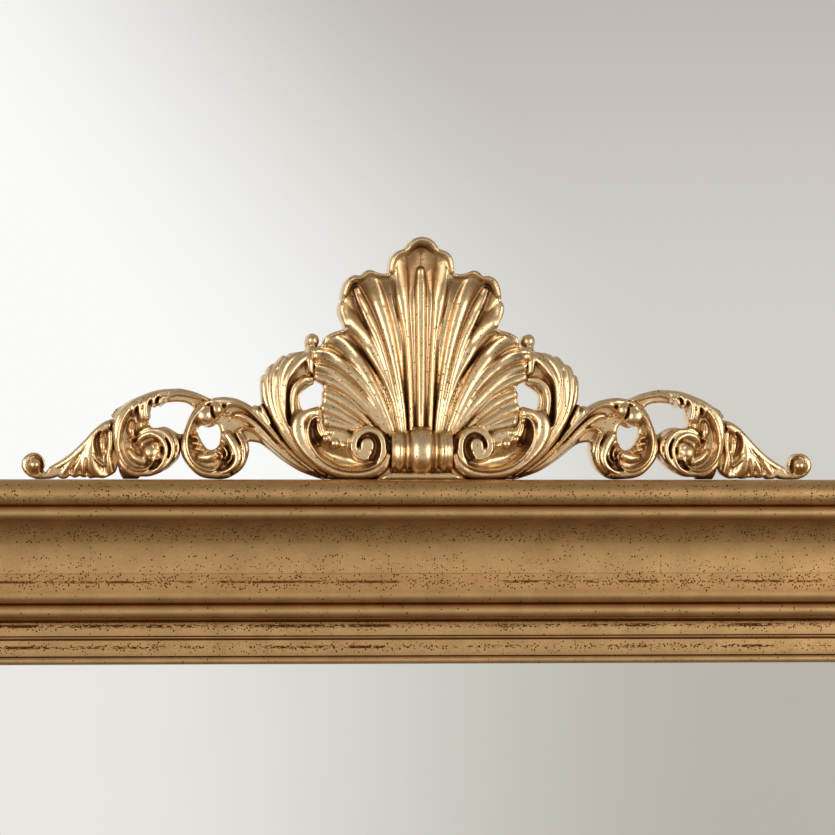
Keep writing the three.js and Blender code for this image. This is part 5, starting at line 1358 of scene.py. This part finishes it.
def makeRails():
    tree = makeRailTree()
    margin = railRun["bareMargin"]
    rails = dict(
        outer=(outerSection(), finishes["moulding"], "gilt_moulding", outerRail["lipBack"], outerRail["width"]),
        liner=(linerSection(), finishes["liner"], "gilt_liner", liner["lipBack"], liner["sight"]))
    turns = dict(top=(0, halfWidth, frameTop), right=(0.5, frameTop, halfWidth),
                 bottom=(1.0, halfWidth, frameTop), left=(1.5, frameTop, halfWidth))
    for kind, (section, gilding, slotName, bareHeight, innerEdge) in rails.items():
        points = [(forward * mm, inwards * mm, 0) for inwards, forward in section]
        links = [(i, (i + 1) % len(points)) for i in range(len(points))]
        for sideName, (turn, halfLength, outwards) in turns.items():
            drawn = bpy.data.meshes.new("section")
            drawn.from_pydata(points, links, [])
            made = newObject(f"{kind}Moulding_{sideName}", drawn)
            mesh = grown(made, tree, {
                "Half Length": halfLength, "Outwards": outwards, "Turn": turn * math.pi,
                "Mitre Gap": railRun["mitreGap"] * mm, "Waver": railRun["waver"],
                "Bare Height": (bareHeight - margin) * mm, "Inner Edge": (innerEdge - margin) * mm,
                "Outer Edge": margin * mm, "Sections": railRun["sections"], "Gilding": gilding,
                "Bare Wood": finishes["railPine"]})
            facedOutwards(mesh)
            mesh.attributes.remove(mesh.attributes["bare"])
            mesh.set_sharp_from_angle(angle=math.radians(railRun["sharp"]))
            standFor(made, slotName, f"{kind}_rail_{sideName}")
    print("rails run and mitred")


# Fixings at the back, in mm. A screw's rows are [depth, radius] from its head's face.
screw = dict(head=[[0, 0], [0, 2.5], [0.12, 2.8], [0.32, 2.68], [1.5, 1.5]], shank=1.5,
             slot=(0.9, 1.8, 7), steps=40, sharp=30)
screwSets = dict(boardScrews=dict(start="board_screw", length=15.0, finish="steel", slot="zinc_steel", seed=5),
                 crestScrews=dict(start="crest_screw", length=12.0, finish="steel", slot="zinc_steel", seed=8),
                 hangerScrews=dict(start="hanger_screw", length=16.0, finish="brass", slot="brass", seed=12))
hanger = dict(inset=32.0, hinge=230.0, behind=3.3)
ring = dict(wire=1.5, halfWidth=12.0, straight=8.0, bow=10.5, corner=2.0, lean=4.4,
            barSteps=14, cornerSteps=7, straightSteps=4, bowSteps=34, around=18, sharp=60)
strap = dict(wide=12.0, long=42.0, thick=1.5, gap=0.3, endRound=4.5, endSteps=10, knuckle=2.85, bore=1.8,
             countersink=[[-1, 0], [-1, 3.3], [0.2, 3.3], [1.7, 1.8], [4, 1.8], [4, 0]],
             screwsDown=(16.0, 32.0), sunk=0.2, rodSteps=48, drillSteps=40, sharp=30)


def joined(made, operation, other):
    # one solid added to or taken from another, which is used up
    modifier = made.modifiers.new("cut", "BOOLEAN")
    modifier.operation = operation
    modifier.solver = "EXACT"
    modifier.object = other
    settled(made, modifier)
    bpy.data.objects.remove(other)


def boxPiece(name, size, material):
    corners = [Vector(((a - 0.5) * size[0], (b - 0.5) * size[1], (c - 0.5) * size[2])) * mm
               for a in (0, 1) for b in (0, 1) for c in (0, 1)]
    faces = [(0, 1, 3, 2), (4, 6, 7, 5), (0, 4, 5, 1), (2, 3, 7, 6), (0, 2, 6, 4), (1, 5, 7, 3)]
    return meshPiece(name, corners, faces, material)


def makeScrewTree():
    # a screw at each point, its slot turned by chance from the seed
    wiring, given, out = newTree(
        "screwsInPlace", "GeometryNodeTree",
        [("Geometry", "Geometry", None), ("Screw", "Object", None), ("Seed", "Int", None),
         ("Metal", "Material", None)], [("Geometry", "Geometry")])
    source = wiring.node("GeometryNodeObjectInfo")
    wiring.fill(source, {"Object": given["Screw"], "As Instance": True})
    chance = wiring.node("FunctionNodeRandomValue", data_type="FLOAT")
    wiring.fill(chance, {"Seed": given["Seed"]})
    angle = wiring.times([socket for socket in chance.outputs if socket.enabled][0], math.tau)
    made = wiring.step("GeometryNodeInstanceOnPoints", {
        "Points": given["Geometry"], "Instance": source.outputs["Geometry"],
        "Rotation": wiring.vector(0.0, angle, 0.0)})
    made = wiring.step("GeometryNodeRealizeInstances", {0: made})
    made = wiring.step("GeometryNodeSetMaterial", {"Geometry": made, "Material": given["Metal"]})
    wiring.fill(out, {0: made})
    return wiring.tree


def makeScrews():
    tree = makeScrewTree()
    for name, own in screwSets.items():
        metal = finishes[own["finish"]]
        rows = screw["head"] + [[own["length"] - screw["shank"], screw["shank"]], [own["length"], 0]]
        vertices, faces = latheMesh(rows, screw["steps"])
        turned = [(y * mm, -x * mm, z * mm) for x, y, z in vertices]
        template = meshPiece("oneScrew", turned, faces, metal, screw["sharp"])
        joined(template, "DIFFERENCE", boxPiece("slotCutter", screw["slot"], metal))
        replaced = [node for node in nodes if node.startswith(own["start"])]
        spots = bpy.data.meshes.new(name)
        boxes = [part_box(node) for node in replaced]
        spots.from_pydata([((low.x + high.x) / 2, high.y, (low.z + high.z) / 2) for low, high in boxes], [], [])
        made = newObject(name, spots)
        mesh = grown(made, tree, {"Screw": template, "Seed": own["seed"], "Metal": metal})
        mesh.set_sharp_from_angle(angle=math.radians(screw["sharp"]))
        bpy.data.objects.remove(template)
        standFor(made, own["slot"], *replaced)


def ringLine():
    # the D of the ring: its bar on the hinge line and its bow above
    half, corner, straight = ring["halfWidth"], ring["corner"], ring["straight"]
    bends, sideSteps = ring["cornerSteps"], ring["straightSteps"]
    points = [(x, 0) for x in np.linspace(-half + corner, half - corner, ring["barSteps"])[:-1]]
    points += arcOf((half - corner, corner), (corner, corner), -0.5, 0, bends)[:-1]
    points += [(half, z) for z in np.linspace(corner, straight, sideSteps)[:-1]]
    points += arcOf((0, straight), (half, ring["bow"]), 0, 1, ring["bowSteps"])[:-1]
    points += [(-half, z) for z in np.linspace(straight, corner, sideSteps)[:-1]]
    return points + arcOf((-half + corner, corner), (corner, corner), 1, 1.5, bends)[:-1]


def makeRing(sideName, across):
    line = np.array(ringLine())
    lean, around, count = math.radians(ring["lean"]), ring["around"], len(line)
    vertices, faces = [], []
    for i in range(count):
        along = line[(i + 1) % count] - line[i - 1]
        along /= np.linalg.norm(along)
        for j in range(around):
            turn = math.tau * j / around
            wide, deep = ring["wire"] * math.cos(turn), ring["wire"] * math.sin(turn)
            x, z = line[i][0] + wide * along[1], line[i][1] - wide * along[0]
            y, z = deep * math.cos(lean) - z * math.sin(lean), deep * math.sin(lean) + z * math.cos(lean)
            vertices.append((across + x * mm, (hanger["behind"] + y) * mm, (hanger["hinge"] + z) * mm))
            k = (j + 1) % around
            far = (i + 1) % count * around
            faces.append((i * around + j, i * around + k, far + k, far + j))
    made = meshPiece(f"hangerRing_{sideName}", vertices, faces, finishes["brass"], ring["sharp"])
    standFor(made, "brass", f"hanger_ring_{sideName}", body=f"{sideName}_ring")


def makeStrap(sideName, across):
    half, turned, brass = strap["wide"] / 2, strap["endRound"], finishes["brass"]
    face, end = strap["gap"] + strap["thick"], -strap["long"] + turned
    outline = [(half, 0)] + arcOf((half - turned, end), (turned, turned), 0, -0.5, strap["endSteps"])
    outline += arcOf((-half + turned, end), (turned, turned), -0.5, -1, strap["endSteps"]) + [(-half, 0)]
    count = len(outline)
    vertices = [(x * mm, y * mm, z * mm) for y in (strap["gap"], face) for x, z in outline]
    faces = [tuple(range(count)), tuple(range(count, count * 2))]
    faces += [(i, (i + 1) % count, (i + 1) % count + count, i + count) for i in range(count)]
    made = meshPiece(f"hangerStrap_{sideName}", vertices, faces, brass, strap["sharp"])

    def rod(radius, reach):
        rows = [[-reach, 0], [-reach, radius], [reach, radius], [reach, 0]]
        shape, walls = latheMesh(rows, strap["rodSteps"])
        turned = [(x * mm, (y + hanger["behind"]) * mm, z * mm) for x, y, z in shape]
        return meshPiece("rod", turned, walls, brass)

    joined(made, "UNION", rod(strap["knuckle"], half))
    joined(made, "DIFFERENCE", rod(strap["bore"], half + 1))
    for down in strap["screwsDown"]:
        shape, walls = latheMesh(strap["countersink"], strap["drillSteps"])
        drill = [(y * mm, (face + strap["sunk"] - x) * mm, (z - down) * mm) for x, y, z in shape]
        joined(made, "DIFFERENCE", meshPiece("drill", drill, walls, brass))
    made.data.transform(Matrix.Translation((across, 0, hanger["hinge"] * mm)))
    made.data.set_sharp_from_angle(angle=math.radians(strap["sharp"]))
    standFor(made, "brass", f"hanger_strap_{sideName}")


makeRails()
makeScrews()
for sideName, side in sides.items():
    hangerAt = side * (halfWidth - hanger["inset"] * mm)
    makeRing(sideName, hangerAt)
    makeStrap(sideName, hangerAt)
print("screws, rings and straps fixed")


# pieces that keep the frame's own shape get a finish each
cadFinishes = dict(
    glass=["mirror_glass"], card=["packing_sheet"], board=["backing_board"],
    beech=["setting_block_left", "setting_block_right", "crest_dowel_left", "crest_dowel_right"],
    steel=[node for node in nodes if node.startswith(("crest_plate", "v_nail"))])
for finish, names in cadFinishes.items():
    for name in names:
        nodes[name].data.materials.clear()
        nodes[name].data.materials.append(finishes[finish])
print("remaining pieces finished")
